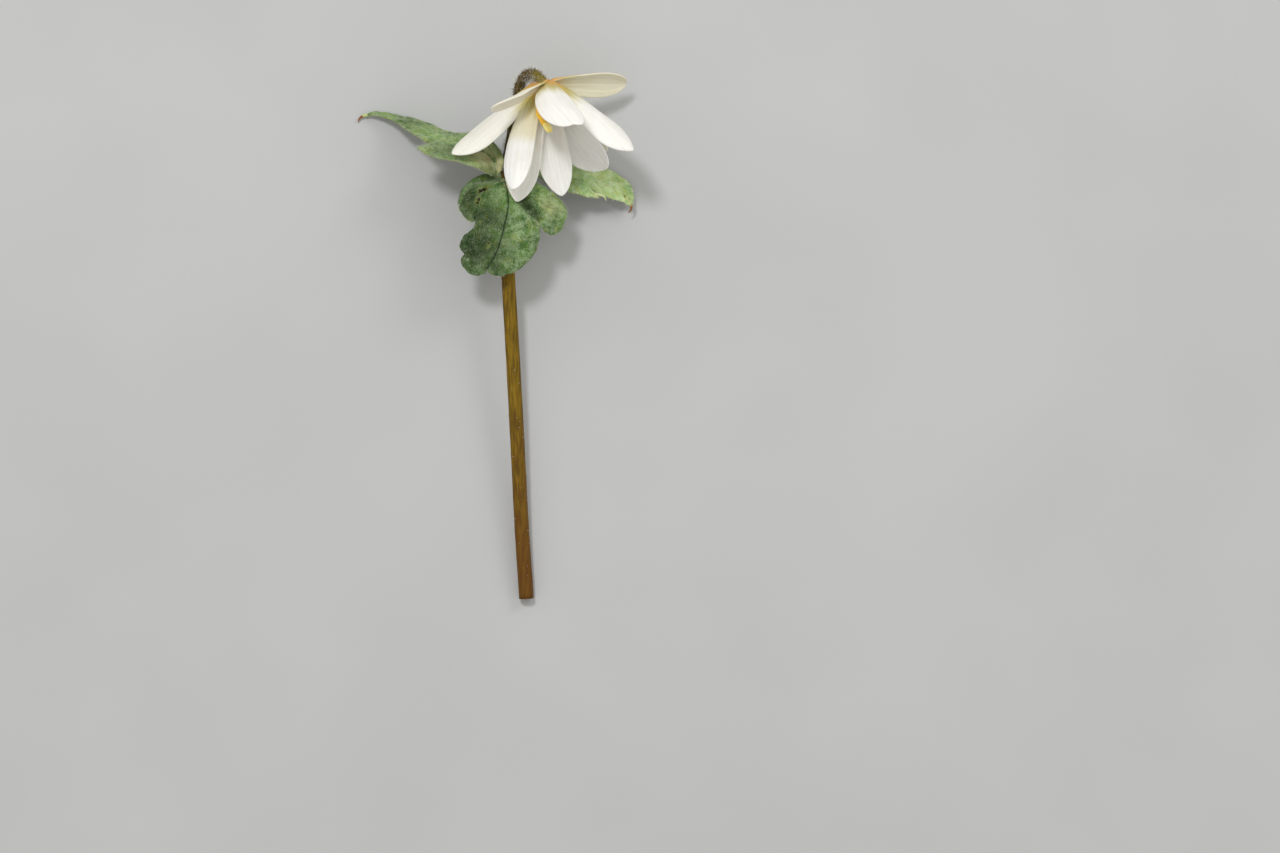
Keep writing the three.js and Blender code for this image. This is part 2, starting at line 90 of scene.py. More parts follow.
# Flower head: the middle of the torus end, the way the flower faces, and the two rings of
# tepals, each with its radius and its height on the torus. The rings are tighter than on the
# solids, because here the roots of the tepals lie over each other.
HEAD = np.array([6.9, 15.2, 5.0])
FACING = np.array([0.13, -0.95, 0.28])
INNER = (1.1, -0.1)
OUTER = (1.4, -0.5)

# Tepals: ring, seat, toward, open, reach, width, bow, cup, roll and point as on the solids,
# then how much the edge waves, how far the middle sweeps to one side, in millimetres, and how
# much painted shade, a warm ivory tint, lies on the root and on the tip. At their roots they
# are wider than the solids.
TEPALS = [
    (INNER, 10, 9, 43.5, 18.8, 6.1, 0.6, 0.4, 45, 0.8, 0.08, -0.1, 0.1, 0.1),
    (INNER, 58, 75, 49.4, 17.3, 6.5, 0.9, 0.3, 7, 0.38, 0.06, 1.15, 0.1, 0.1),
    (INNER, 158, 169.5, 23.7, 19.1, 5.2, 0.8, 0.4, -52, 0.6, 0.05, 0.7, 1, 0),
    (INNER, 215, 212, 24.8, 19.7, 6.0, 0.6, 0.4, 36, 0.68, 0.06, -0.5, 0.2, 0.1),
    (INNER, 268, 274.5, 25.2, 18.6, 5.4, 0.5, 0.5, -5, 0.68, 0.08, -0.4, 0.1, 0),
    (INNER, 322, 313.3, 42.3, 17.6, 6.7, -0.2, 0.4, -13.6, 0.48, 0.24, -1.0, 0, 0),
    (OUTER, 325, 331, 93.2, 15.5, 5.3, 0.1, 0.3, -32, 0.55, 0.10, 0, 1, 0.9),
    (OUTER, 317, 302, 64, 18.9, 4.2, 0.4, 0.3, 0, 0.7, 0.10, 0, 0.1, 0.1),
    (OUTER, 280, 293, 50, 17.9, 4.8, -0.2, 0.3, 0, 0.6, 0.18, 0, 0.1, 0.1),
    (OUTER, 243, 249, 42, 14.0, 4.4, 0.6, 0.4, 0, 0.7, 0.10, 0, 0.1, 0.1),
    (OUTER, 189, 181, 59.8, 19.2, 5.7, -0.6, 0.4, -53, 0.71, 0.05, 0.5, 0.4, 0.4),
    (INNER, 84, 135, 67, 14.5, 4.5, 0, 0.3, 17, 0.53, 0.14, 0, 0.7, 0.7),
]
ROOT_WIDTH = 0.3
WIDEST = 0.68
WIDENING = 0.8
TEPAL_THICKNESS = 0.3
ROOT_THICKENING = 0.35
ROOT_LENGTH = 1.2
SOFT_RELIEF = 0.15
TEPAL_START = -0.03
TEPAL_ROWS = 64
TEPAL_COLUMNS = 34
ROW_CROWDING = 1.6
COLUMN_CROWDING = 0.8

# Pleats along a tepal: how close they stand, their height, and how they shift from one to another
PLEATS = ((15, 0.026, 1), (27, 0.018, 2))

# Stamens and carpels stand in a tuft as deep and wide as the solid one. The disc, a filament
# and a carpel have radii at shares of their length. Each stray stamen is shifted to the side by
# some millimetres, and has its anther or not.
STAMENS = 84
STRAY_STAMEN = [[6.6, 13.8, 6.5], [5.7, 11.6, 8.0], [5.9, 10.1, 9.0], [6.7, 8.5, 9.6]]
STAMEN_REACH = 5.7
CARPELS = 46
DISC_FOOT, DISC_HEIGHT = 0.1, 0.85
DISC = ([0, 0.15, 0.4, 0.7, 0.9, 1.0], [1.35, 1.5, 1.55, 1.5, 1.3, 0.9])
FILAMENT = ([0, 0.8, 1], [0.13, 0.10, 0.07])
ANTHER = (0.16, 0.2, 0.74)
STRAY_ANTHER = (0.32, 0.36, 0.95)
CARPEL = ([0, 0.25, 0.5, 0.8, 1], [0.10, 0.15, 0.10, 0.05, 0.03])
CARPEL_MIDDLE = UP * 2.2
STRAYS = ((-0.05, False), (0.25, True), (0.6, True))


# Bracts: the lobes of their flat outlines, as across and along from the bract's base. A vein
# runs from the base to the lobe's tip, and the left and right edges run there too, from the
# base or from the sinus between two lobes.
def outline(tip, vein, left, right):
    return {"vein": [[0, 0], *vein, tip], "left": [*left, tip], "right": [*right, tip]}


FRONT_BRACT = [
    outline([-7.3, 5.7], [[-2.6, 2.6], [-5, 4.4]],
            [[0, 0], [-1.6, 0.2], [-3.4, 0.9], [-5.3, 2.2], [-6.7, 3.9]],
            [[-4.5, 8.5], [-5.1, 8.6], [-5.9, 8.3], [-6.8, 7.3]]),
    outline([-2.6, 16.7], [[0.9, 5.0], [0.3, 9.0], [-0.8, 13.0]],
            [[-4.5, 8.5], [-4.5, 9.2], [-5.1, 10.1], [-6.4, 11.4], [-7.0, 13.2], [-6.2, 14.5],
             [-6.9, 15.6], [-6.1, 17.2], [-4.4, 17.9], [-3.3, 17.6]],
            [[5.6, 9.0], [5.9, 10.0], [6.0, 11.4], [5.5, 13.4], [4.1, 15.4], [2.1, 16.9], [0.4, 17.5],
             [-1.2, 17.8], [-2.1, 17.4]]),
    outline([10.5, 7.4], [[3.4, 3.2], [7, 5.6]],
            [[5.6, 9.0], [6.5, 9.9], [7.4, 11.0], [8.6, 11.2], [9.8, 10.0]],
            [[0, 0], [1.8, 0.2], [4.2, 0.8], [6.8, 1.8], [9.0, 3.2], [10.3, 5.2]]),
]
LEFT_BRACT = [
    outline([-3.6, 12.2], [[-1.2, 4], [-2.3, 8.2]],
            [[0, 0], [-1.0, 0.6], [-2.1, 2.4], [-2.7, 4.8], [-3.0, 7.6], [-3.5, 10.2]],
            [[-2.6, 10.8], [-2.9, 11.3], [-3.3, 11.8]]),
    outline([0, 27.6], [[0, 9], [0, 18]],
            [[-2.6, 10.8], [-3.3, 12.8], [-3.9, 14.8], [-3.6, 17.2], [-2.8, 19.8], [-1.7, 22.6],
             [-0.8, 25.6]],
            [[3.6, 11.8], [4.3, 13.2], [3.8, 15.2], [3.3, 17.4], [2.9, 19.2], [2.1, 20.6], [1.4, 22.6],
             [0.7, 25.6]]),
    outline([7.6, 12.4], [[2.6, 4.6], [5.1, 8.6]],
            [[3.6, 11.8], [4.8, 12.2], [6.2, 12.5]],
            [[0, 0], [2.0, 0.6], [4.4, 2.4], [6.2, 4.8], [7.0, 7.4], [7.5, 9.4], [7.8, 11.2]]),
]
RIGHT_BRACT = [
    outline([-5.6, 14.6], [[-1.8, 5], [-3.8, 10]],
            [[0, 0], [-0.9, 0.8], [-2.3, 3.0], [-4.2, 5.8], [-5.6, 9.0], [-6.1, 12.2]],
            [[-2.6, 12.2], [-3.5, 13.2], [-4.4, 14.2]]),
    outline([0, 23.4], [[0, 8], [0, 16]],
            [[-2.6, 12.2], [-3.3, 14.2], [-3.4, 16.4], [-2.9, 18.4], [-2.6, 20.4], [-1.6, 22.2]],
            [[2.2, 15.2], [2.6, 16.6], [2.5, 18.4], [2.2, 20.0], [1.4, 21.4], [0.7, 22.6]]),
    outline([3.5, 17.2], [[1.6, 5.5], [2.8, 11]],
            [[2.2, 15.2], [2.8, 16.0], [3.1, 16.8]],
            [[0, 0], [1.2, 1.0], [2.6, 3.0], [4.2, 6.2], [4.9, 9.6], [4.6, 13], [4.2, 15.4]]),
]

# Midlines of the bracts in space. The sides of the front bract hang by droop times the
# square of their distance, and a valley runs down it to its right sinus. The halves of a side
# bract lean by these degrees, base to tip.
FRONT_MIDLINE = [[0, -0.4, 1.9], [0, -0.8, 3.2], [0, -2.2, 4.6], [0, -4.8, 5.4],
                 [0, -8.6, 5.3], [0, -12.4, 4.4], [0, -16.2, 3.0]]
FRONT_DROOP = 0.038
DROOP_START = (0, 5)
FRONT_VALLEY = {"start": [1.2, 3.6], "end": [5.5, 8.8], "steep": 0.35, "wide": 1.7, "depth": 0.95}
LEFT_MIDLINE = [[-1.0, 0.4, 2.3], [-1.8, 2.7, 2.3], [-3.7, 4.5, 1.6], [-8.4, 6.3, -1.6],
                [-13, 8.3, -4.6], [-17, 9.8, -6.3], [-21.3, 10.6, -7.2], [-24.7, 9.2, -7.5]]
LEFT_LEAN = {"near": [40, 30, 26, 24, 24], "far": [85, 50, 14, 18, 20]}
RIGHT_MIDLINE = [[1.7, 0.2, -0.6], [3.4, 2.0, -1.8], [6, 2.6, -3.1], [10, 1.8, -4.1],
                 [14, 0.4, -4.7], [17, -0.9, -5.1], [19.6, -2.4, -5.4], [21.3, -4.6, -5.9]]
RIGHT_LEAN = {"near": [50, 50, 50, 50, 50], "far": [40, 44, 46, 48, 48]}

# The outer edge of the strip that the front bract folds back behind its upper left margin
FRONT_FOLD = [[-0.3, 0.2, 0.9], [-2.1, 0.72, 1.3], [-4.1, 0.3, 2.0], [-5.7, -0.8, 2.5],
              [-6.95, -2.4, 2.7], [-7.4, -4.4, 2.9]]

BRACT_THICKNESS = 0.42
FOLD_THICKNESS = 0.36
ROLL_WIDTH = 1.1
LOBE_ROWS = 104
SINUS_ROWS = 48
LOBE_COLUMNS = 34
BRANCHES = 11
BRANCH_LENGTH = 5.5
RIB_SHARE = 0.55
RIB_RADIUS = 0.55
MARGIN_HAIR, MARGIN_HAIR_WIDTH = 0.42, 0.036
SURFACE_HAIR, SURFACE_HAIR_WIDTH = 0.3, 0.024

# Relief of a bract: depth and width of the grooves along its veins and its side veins, and
# height, distance and width of the shoulders beside its veins. Then the depth of eaten spots,
# and layers of uneven relief, each with its height and its closeness.
GROOVE, SIDE_GROOVE, SHOULDER = (0.28, 0.16), (0.09, 0.14), (0.14, 0.65, 0.4)
SPOT_DEPTH = 0.3
QUILT = ((0.24, 0.32), (0.15, 0.85))
GRAIN = ((0.06, 2.0),)
TEETH = ((0.13, 1.1), (0.06, 3.1))


# Vectors, curves and surfaces

def unit(vectors):
    return vectors / np.maximum(np.linalg.norm(vectors, axis=-1, keepdims=True), 1e-12)


def read_values(values, share):
    """Reads a list of values, spaced evenly over 0 to 1, with straight lines between them."""
    return np.interp(np.asarray(share) * (len(values) - 1), np.arange(len(values)), values)


def smooth_step(low, high, value):
    share = np.clip((value - low) / (high - low), 0, 1)
    return share * share * (3 - 2 * share)


def cubic(here, there, start, end, share):
    """A smooth curve from one point to the next, with its slopes at both."""
    third = 2 * (here - there) + start + end
    second = 3 * (there - here) - 2 * start - end
    return third * share**3 + second * share**2 + start * share + here


def flat_curve(stations, places):
    """Points at places from 0 to 1 on an even smooth curve, clamped at its ends."""
    stations = np.array(stations, float)
    last = len(stations) - 1
    at = np.clip(places, 0, 1) * last
    k = np.minimum(at.astype(int), last - 1)
    before, here, there, after = (stations[np.clip(k + i, 0, last)] for i in (-1, 0, 1, 2))
    return cubic(here, there, (there - before) / 2, (after - here) / 2, (at - k)[:, None])


def space_curve(stations, places):
    """Points at places from 0 to 1 on a smooth curve that never overshoots its stations."""
    s = np.array(stations, float)
    padded = np.vstack([2 * s[0] - s[1], s, 2 * s[-1] - s[-2]])
    at = np.clip(places, 0, 1) * (len(s) - 1)
    k = np.minimum(at.astype(int), len(s) - 2)
    p = [padded[k + i] for i in range(4)]
    d = [np.sqrt(np.linalg.norm(p[i + 1] - p[i], axis=1))[:, None] for i in range(3)]
    start = ((p[1] - p[0]) / d[0] - (p[2] - p[0]) / (d[0] + d[1])) * d[1] + p[2] - p[1]
    end = p[2] - p[1] + ((p[3] - p[2]) / d[2] - (p[3] - p[1]) / (d[1] + d[2])) * d[1]
    return cubic(p[1], p[2], start, end, (at - k)[:, None])


def reach_along(points):
    """The distance to each of some points along the line through them."""
    steps = np.linalg.norm(np.diff(points, axis=0), axis=1)
    return np.concatenate([[0], np.cumsum(steps)])


def headings_along(points):
    return unit(np.gradient(points, axis=0))


def turns(count):
    """Angles that are spread evenly round a circle."""
    return 2 * math.pi * np.arange(count) / count


class Line:
    """A curve in space that is read by the distance along it."""

    def __init__(self, stations):
        self.points = space_curve(stations, np.linspace(0, 1, LINE_SAMPLES + 1))
        self.headings = headings_along(self.points)
        self.reach = reach_along(self.points)
        self.length = self.reach[-1]

    def at(self, along):
        """Points and headings, straight on past either end."""
        inside = np.clip(along, 0, self.length)
        points, ways = (np.stack([np.interp(inside, self.reach, values[:, i]) for i in range(3)], -1)
                        for values in (self.points, self.headings))
        headings = unit(ways)
        return points + headings * (along - inside)[..., None], headings


def grid_faces(rows, columns):
    """Two triangles for each cell of a grid of points, row by row."""
    i, j = np.meshgrid(np.arange(rows - 1), np.arange(columns - 1), indexing="ij")
    a = (i * columns + j).ravel()
    b, c, d = a + 1, a + columns + 1, a + columns
    return np.concatenate([np.stack([a, b, c], 1), np.stack([a, c, d], 1)])


def weld(points, faces, *values):
    """Makes equal points one point, and drops the faces that vanish."""
    keys = np.round(points / WELD_GAP).astype(np.int64)
    first, back = np.unique(keys, axis=0, return_index=True, return_inverse=True)[1:]
    faces = back.reshape(-1)[faces]
    a, b, c = faces.T
    faces = faces[(a != b) & (b != c) & (c != a)]
    return [points[first], faces, *(value[first] for value in values)]


def point_normals(points, faces):
    a, b, c = (points[faces[:, i]] for i in range(3))
    across = np.cross(b - a, c - a)
    normals = np.zeros_like(points)
    for i in range(3):
        np.add.at(normals, faces[:, i], across)
    return unit(normals)


def rim_points(faces, count):
    """Which points lie on the open edge of a surface."""
    edges = np.concatenate([faces[:, [0, 1]], faces[:, [1, 2]], faces[:, [2, 0]]])
    forth, back = edges[:, 0] * count + edges[:, 1], edges[:, 1] * count + edges[:, 0]
    return np.unique(edges[~np.isin(back, forth)])


def in_space(points):
    """Flat points get a third coordinate of nought."""
    return points if points.shape[1] == 3 else np.pad(points, ((0, 0), (0, 1)))


def distance_to(points, targets):
    """Distance from each point to the nearest target."""
    tree = KDTree(len(targets))
    for i, target in enumerate(in_space(targets).tolist()):
        tree.insert(target, i)
    tree.balance()
    return np.array([tree.find(point)[2] for point in in_space(points).tolist()])


def hump(value, middle, width):
    return np.exp(-(((value - middle) / width) ** 2))


def roughly(points, scale, seed=0):
    """Smooth random values from -1 to 1, one for each point."""
    shift = Vector((seed * 7.31, seed * 3.17, seed * 5.77))
    return np.array([noise.noise(Vector(point) * scale + shift) for point in points.tolist()])


def uneven(points, sizes, seed):
    """Layers of smooth random values, each with a height and a closeness."""
    return sum(height * roughly(points, closeness, seed) for height, closeness in sizes)


def upward(points, faces):
    """Turns the faces of a sheet so that they look up."""
    return faces if point_normals(points, faces)[:, 2].mean() >= 0 else faces[:, ::-1]


def outward(points, faces):
    """Turns the faces of a closed body so that they look out."""
    a, b, c = (points[faces[:, i]] for i in range(3))
    volume = np.einsum("ij,ij->i", a, np.cross(b, c)).sum()
    return faces if volume > 0 else faces[:, ::-1]


# Parts of a piece: points, faces, and three triples of values at each point for the materials

def part(points, faces, place=None, form=None, trait=None):
    values = {"place": place, "form": form, "trait": trait}
    for key, value in values.items():
        values[key] = np.zeros_like(points) if value is None else value
    return {"points": points, "faces": faces, **values}


def joined(parts):
    starts = np.cumsum([0] + [len(p["points"]) for p in parts[:-1]])
    shifted = [{**p, "faces": p["faces"] + start} for p, start in zip(parts, starts)]
    return {key: np.concatenate([p[key] for p in shifted]) for key in parts[0]}


def shell(points, faces, thickness, relief, place, form=None, trait=None):
    """The closed skin of a surface: two faces that meet in a round edge along the rim.
    trait gets 1 in its last value on the back face."""
    count = len(points)
    rim = rim_points(faces, count)
    gap = distance_to(points, points[rim])
    normals = point_normals(points, faces)
    near = 1 - np.clip(gap / EDGE_WIDTH, 0, 1)
    half = (thickness / 2 * np.sqrt(1 - near**2))[:, None]
    lift = (relief * np.sqrt(1 - near**2))[:, None]
    front, back = points + normals * (lift + half), points + normals * (lift - half)
    under = np.arange(count) + count
    under[rim] = rim
    body = np.concatenate([faces, under[faces][:, ::-1]])
    none = np.zeros_like(points)
    place, form, trait = (np.tile(none if values is None else values, (2, 1))
                          for values in (place, form, trait))
    trait[count:, 2] = 1
    return part(np.concatenate([front, back]), body, place, form, trait)


def wrapped(rings, sides):
    """Faces round a stack of rings, whose points are followed by one that closes each end."""
    i, k = np.meshgrid(np.arange(rings - 1), np.arange(sides), indexing="ij")
    a, b = (i * sides + k).ravel(), (i * sides + (k + 1) % sides).ravel()
    c, d = b + sides, a + sides
    k, last = np.arange(sides), (rings - 1) * sides
    after, foot = (k + 1) % sides, np.full(sides, rings * sides)
    faces = [[a, b, c], [a, c, d], [foot, after, k], [foot + 1, last + k, last + after]]
    return np.concatenate([np.stack(corners, 1) for corners in faces])


def tube(centres, radii, sides):
    """A round tube along points. place holds the share round it, the distance along it and
    the share along it."""
    headings = headings_along(centres)
    side = np.array([1.0, 0, 0]) if abs(headings[0][0]) < 0.9 else np.array([0, 1.0, 0])
    angles = turns(sides)
    rings = []
    for centre, heading, radius in zip(centres, headings, radii):
        side = unit(side - heading * side.dot(heading))
        up = np.cross(heading, side)
        spokes = np.cos(angles)[:, None] * side + np.sin(angles)[:, None] * up
        rings.append(centre + spokes * np.reshape(radius, (-1, 1)))
    points = np.concatenate(rings + [centres[:1], centres[-1:]])
    reach = reach_along(centres)
    around = np.append(np.tile(np.arange(sides) / sides, len(centres)), [0, 0])
    along = np.append(np.repeat(reach, sides), [0, reach[-1]])
    place = np.stack([around, along, along / reach[-1]], 1)
    return part(points, outward(points, wrapped(len(centres), sides)), place)


def ball(radii, rows, sides):
    """A stretched ball round the origin. place holds its height share."""
    turn = np.linspace(0, math.pi, rows + 1)[1:-1]
    angles = turns(sides)
    rings = [[math.sin(t) * math.cos(a), math.sin(t) * math.sin(a), math.cos(t)]
             for t in turn for a in angles]
    points = np.array(rings + [[0, 0, 1], [0, 0, -1]])
    share = (points[:, 2] + 1) / 2
    points = points * np.array(radii)
    return part(points, outward(points, wrapped(rows - 1, sides)), np.stack([share] * 3, 1))


def moved(body, axes, origin):
    """A part turned so that its own x, y and z lie along three axes, and set at origin."""
    return {**body, "points": body["points"] @ np.array(axes) + origin}


def hairs(roots, ways, lengths, width, bend):
    """Slim three-sided hairs that bend over. place holds the share along each hair, a random
    value for each, and the share again."""
    ways = unit(ways)
    ref = np.where(np.abs(ways[:, 2:]) < 0.9, [[0, 0, 1.0]], [[1.0, 0, 0]])
    side = unit(np.cross(ways, ref))
    up = np.cross(ways, side)
    rings = []
    for share, size in ((-0.08, 1.0), (0.5, 0.7)):
        reach = (lengths * share)[:, None]
        middle = roots + ways * reach + bend * (reach * abs(share))
        for turn in (0, 2.0944, 4.1888):
            spoke = math.cos(turn) * side + math.sin(turn) * up
            rings.append(middle + spoke * (width * size / 2))
    points = np.stack([*rings, roots + ways * lengths[:, None] + bend * lengths[:, None]], 1)
    count, corners, _ = points.shape
    one = []
    for k, n in ((0, 1), (1, 2), (2, 0)):
        one += [[k, n, n + 3], [k, n + 3, k + 3], [k + 3, n + 3, 6]]
    one.append([0, 2, 1])
    faces = (np.arange(count)[:, None, None] * corners + np.array(one)[None]).reshape(-1, 3)
    share = np.tile([0, 0, 0, 0.5, 0.5, 0.5, 1.0], count)
    place = np.stack([share, np.repeat(dice.random(count), corners), share], 1)
    return part(points.reshape(-1, 3), faces, place)


def added(name, data):
    """A new object in the scene."""
    thing = bpy.data.objects.new(name, data)
    bpy.context.scene.collection.objects.link(thing)
    return thing


def make(name, body, material, slot, *nodes):
    """A piece of the flower, in metres, that rides on its body and stands for these nodes."""
    mesh = bpy.data.meshes.new(name)
    points = (body["points"] + NODE) * MM
    points[:, 2] = np.maximum(points[:, 2], 0)
    mesh.from_pydata(points.tolist(), [], body["faces"].tolist())
    for key in ("place", "form", "trait"):
        values = mesh.attributes.new(key, "FLOAT_VECTOR", "POINT")
        values.data.foreach_set("vector", body[key].astype(np.float32).ravel())
    mesh.shade_smooth()
    mesh.materials.append(material)
    piece = added(name, mesh)
    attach(piece, "root")
    if nodes:
        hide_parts(*nodes)


# Materials

def rgb(red, green, blue):
    """A colour as the eye reads it, from 0 to 255, as a linear colour."""
    shares = (value / 255 for value in (red, green, blue))
    return (*(s / 12.92 if s <= 0.04045 else ((s + 0.055) / 1.055) ** 2.4 for s in shares), 1)


class Look:
    """One material: a shader, and short names for the nodes that feed it."""

    def __init__(self, name, **constants):
        self.material = bpy.data.materials.new(name)
        self.material.use_nodes = True
        self.tree = self.material.node_tree
        self.tree.nodes.clear()
        self.shader = self.node("BsdfPrincipled")
        self.node("OutputMaterial", {"Surface": self.shader.outputs["BSDF"]})
        self.set(**constants)

    def feed(self, socket, value):
        if isinstance(value, bpy.types.NodeSocket):
            self.tree.links.new(value, socket)
        else:
            socket.default_value = value

    def node(self, kind, inputs=(), **settings):
        """A node with these settings, and with values or other nodes' outputs as its inputs."""
        node = self.tree.nodes.new("ShaderNode" + kind)
        for key, value in settings.items():
            setattr(node, key, value)
        for socket, value in dict(inputs).items():
            self.feed(node.inputs[socket], value)
        return node

    def attribute(self, name):
        """An attribute whole, and its three values."""
        whole = self.node("Attribute", attribute_name=name).outputs["Vector"]
        return whole, *self.node("SeparateXYZ", {0: whole}).outputs

    def stretched(self, where, *factors):
        """A place with its three values multiplied by these factors."""
        return self.node("VectorMath", {0: where, 1: factors}, operation="MULTIPLY").outputs[0]

    def millimetres(self):
        """Where a point lies on the object, in millimetres."""
        return self.stretched(self.node("TexCoord").outputs["Object"], *(1 / MM,) * 3)

    def noise(self, where, scale, detail=3, roughness=0.55):
        sockets = {"Vector": where, "Scale": scale, "Detail": detail, "Roughness": roughness}
        return self.node("TexNoise", sockets).outputs[0]

    def stirred(self, where, scale, amount):
        """A place pushed about by up to amount, so that a pattern there loses its order."""
        push = self.node("TexNoise", {"Vector": where, "Scale": scale}).outputs["Color"]
        inputs = {0: push, 1: (amount,) * 3, 2: where}
        return self.node("VectorMath", inputs, operation="MULTIPLY_ADD").outputs[0]

    def net(self, where, scale):
        """How far a place is from the lines of an uneven net."""
        node = self.node("TexVoronoi", {"Vector": where, "Scale": scale}, feature="DISTANCE_TO_EDGE")
        return node.outputs["Distance"]

    def plus(self, a, b):
        return self.node("Math", {0: a, 1: b}, operation="ADD").outputs[0]

    def times(self, a, b):
        return self.node("Math", {0: a, 1: b}, operation="MULTIPLY").outputs[0]

    def between(self, *values):
        """Goes smoothly from 0 to 1, or from the fourth value to the fifth, as the first value
        goes from the second to the third."""
        return self.node("MapRange", enumerate(values), interpolation_type="SMOOTHSTEP").outputs[0]

    def mix(self, share, a, b):
        return self.node("Mix", {0: share, 6: a, 7: b}, data_type="RGBA").outputs[2]

    def over(self, colour, tint, *values):
        """The colour with a tint over it, by the share that between makes of these values."""
        return self.mix(self.between(*values), colour, tint)

    def bump(self, height, distance, strength):
        sockets = {"Height": height, "Distance": distance * MM, "Strength": strength}
        return self.node("Bump", sockets).outputs[0]

    def set(self, **sockets):
        for key, value in sockets.items():
            self.feed(self.shader.inputs[key.replace("_", " ")], value)
        return self.material


WHITE = rgb(250, 249, 245)
LINE_GREY = rgb(226, 222, 212)
LILAC = rgb(238, 233, 228)
SHADE_IVORY = rgb(222, 214, 184)
ROOT_ORANGE = rgb(208, 150, 66)
ROOT_GREEN = rgb(174, 160, 64)


def tepal_look():
    """White, a little translucent, with fine lengthwise lines, warm at the root, and with
    yellow-green fingers that run out from there. A warm ivory tint over it is painted shade."""
    look = Look("tepal", Subsurface_Weight=0.4, Subsurface_Scale=0.0012, Specular_IOR_Level=0.3,
                Subsurface_Radius=(1.0, 0.92, 0.8), Sheen_Weight=0.08, Sheen_Roughness=0.4)
    place, _, along, _ = look.attribute("place")
    _, painted_shade, _, inner = look.attribute("trait")
    lines = look.noise(look.stretched(place, 3.4, 1.6, 1), 1, 4, 0.6)
    cloud = look.noise(look.millimetres(), 0.22, 2)
    # Painted shade: a warm ivory tint, as much as the first value of trait asks
    tint = look.mix(painted_shade, look.over(WHITE, LILAC, cloud, 0.4, 0.7, 0, 0.55), SHADE_IVORY)
    lined = look.over(tint, LINE_GREY, lines, 0.42, 0.72, 0, 0.6)
    finger = look.noise(look.stretched(place, 1.5, 0, 1), 1)
    warm = look.plus(along, look.times(finger, -0.24))
    outer = look.plus(1, look.times(inner, -0.75))
    colour = look.mix(look.times(outer, look.between(warm, 0.02, 0.29, 0.9, 0)), lined, ROOT_GREEN)
    colour = look.mix(look.times(outer, look.between(warm, -0.12, 0.06, 0.9, 0)), colour, ROOT_ORANGE)
    fine = look.noise(look.stretched(place, 7, 9, 1), 1)
    return look.set(Base_Color=colour, Roughness=look.between(lines, 0.3, 0.7, 0.45, 0.62),
                    Normal=look.bump(fine, 0.05, 0.5))


DEEP_GREEN = rgb(54, 88, 34)
MID_GREEN = rgb(92, 130, 56)
SIDE_GREEN = rgb(116, 158, 84)
SIDE_PALE = rgb(180, 206, 142)
DARK_GREEN = rgb(22, 38, 14)
FROST = rgb(168, 188, 148)
SIDE_FROST = rgb(212, 226, 190)
YELLOW_GREEN = rgb(166, 174, 76)
SIDE_STREAK = rgb(176, 190, 112)
VEIN_PALE = rgb(140, 164, 94)
MARGIN = rgb(178, 170, 138)
CREAM = rgb(216, 206, 158)
BROWN = rgb(38, 32, 14)
SIDE_BROWN = rgb(136, 84, 42)
UNDER_GREEN = rgb(124, 146, 96)
UNDER_PALE = rgb(146, 158, 118)


def bract_look():
    """Green under a frost of fine pale down, with a net of veins, yellow-green marks, brown spots
    and a pale margin. The side bracts are lighter and streaked lengthwise. Painted shade darkens
    the vein grooves, the cracks and the front bract's dark marks, and painted light lifts two pale
    marks."""
    look = Look("bract", Subsurface_Weight=0.08, Subsurface_Scale=0.0006, Specular_IOR_Level=0.12,
                Sheen_Weight=0.08, Sheen_Roughness=0.5)
    place, _, _, kind = look.attribute("place")
    _, vein, rim, branch = look.attribute("form")
    _, spot, pale, under = look.attribute("trait")
    where = look.millimetres()
    broad = look.between(look.noise(where, 0.3, 3, 0.6), 0.38, 0.62)
    front, side = look.mix(broad, DEEP_GREEN, MID_GREEN), look.mix(broad, SIDE_GREEN, SIDE_PALE)
    colour = look.mix(kind, front, side)
    colour = look.over(colour, YELLOW_GREEN, look.noise(where, 0.55, 4, 0.65), 0.54, 0.7, 0, 0.5)
    net = look.net(look.stirred(where, 1.2, 0.7), 1.5)
    cells = look.plus(look.between(net, 0, 0.12, 0.3, 0), look.times(kind, -0.22))
    colour = look.mix(cells, colour, DEEP_GREEN)
    down, patch = look.noise(where, 4.5, 4, 0.75), look.noise(where, 0.8, 3, 0.6)
    grain = look.plus(look.times(down, 0.55), look.times(patch, 0.45))
    colour = look.over(colour, look.mix(kind, FROST, SIDE_FROST), grain, 0.41, 0.61, 0, 0.68)
    streaks = look.noise(look.stretched(place, 2.6, 0.4, 1), 1, 3, 0.6)
    streak = look.times(look.between(kind, 0, 0.2), look.between(streaks, 0.48, 0.64, 0, 0.8))
    colour = look.mix(streak, colour, SIDE_STREAK)
    below = look.over(UNDER_GREEN, UNDER_PALE, look.noise(where, 0.4, 2), 0.4, 0.6)
    colour = look.over(look.mix(under, colour, below), MARGIN, rim, 0, 0.14, 0.4, 0)
    colour = look.over(colour, VEIN_PALE, branch, 0.03, 0.18, 0.35, 0)
    # Pale marks lean to cream and dark marks to dark green; on the front bract the dark marks are
    # painted shade, and two pale marks are painted light.
    colour = look.mix(pale, look.mix(look.times(pale, -0.85), colour, DARK_GREEN), CREAM)
    # Painted shade: the grooves along the veins and the cracks are darkened towards dark green
    colour = look.over(colour, DARK_GREEN, vein, 0.04, 0.17, 0.8, 0)
    eaten = look.plus(spot, look.times(look.noise(where, 2.8, 4, 0.65), 0.9))
    colour = look.over(colour, YELLOW_GREEN, eaten, 0.75, 1.15, 0, 0.25)
    colour = look.over(colour, look.mix(kind, BROWN, SIDE_BROWN), eaten, 1.2, 1.34)
    relief = look.plus(grain, look.between(net, 0, 0.2, 0, 0.5))
    return look.set(Base_Color=colour, Roughness=look.between(grain, 0.4, 0.65, 0.65, 0.88),
                    Normal=look.bump(relief, 0.14, 0.6))


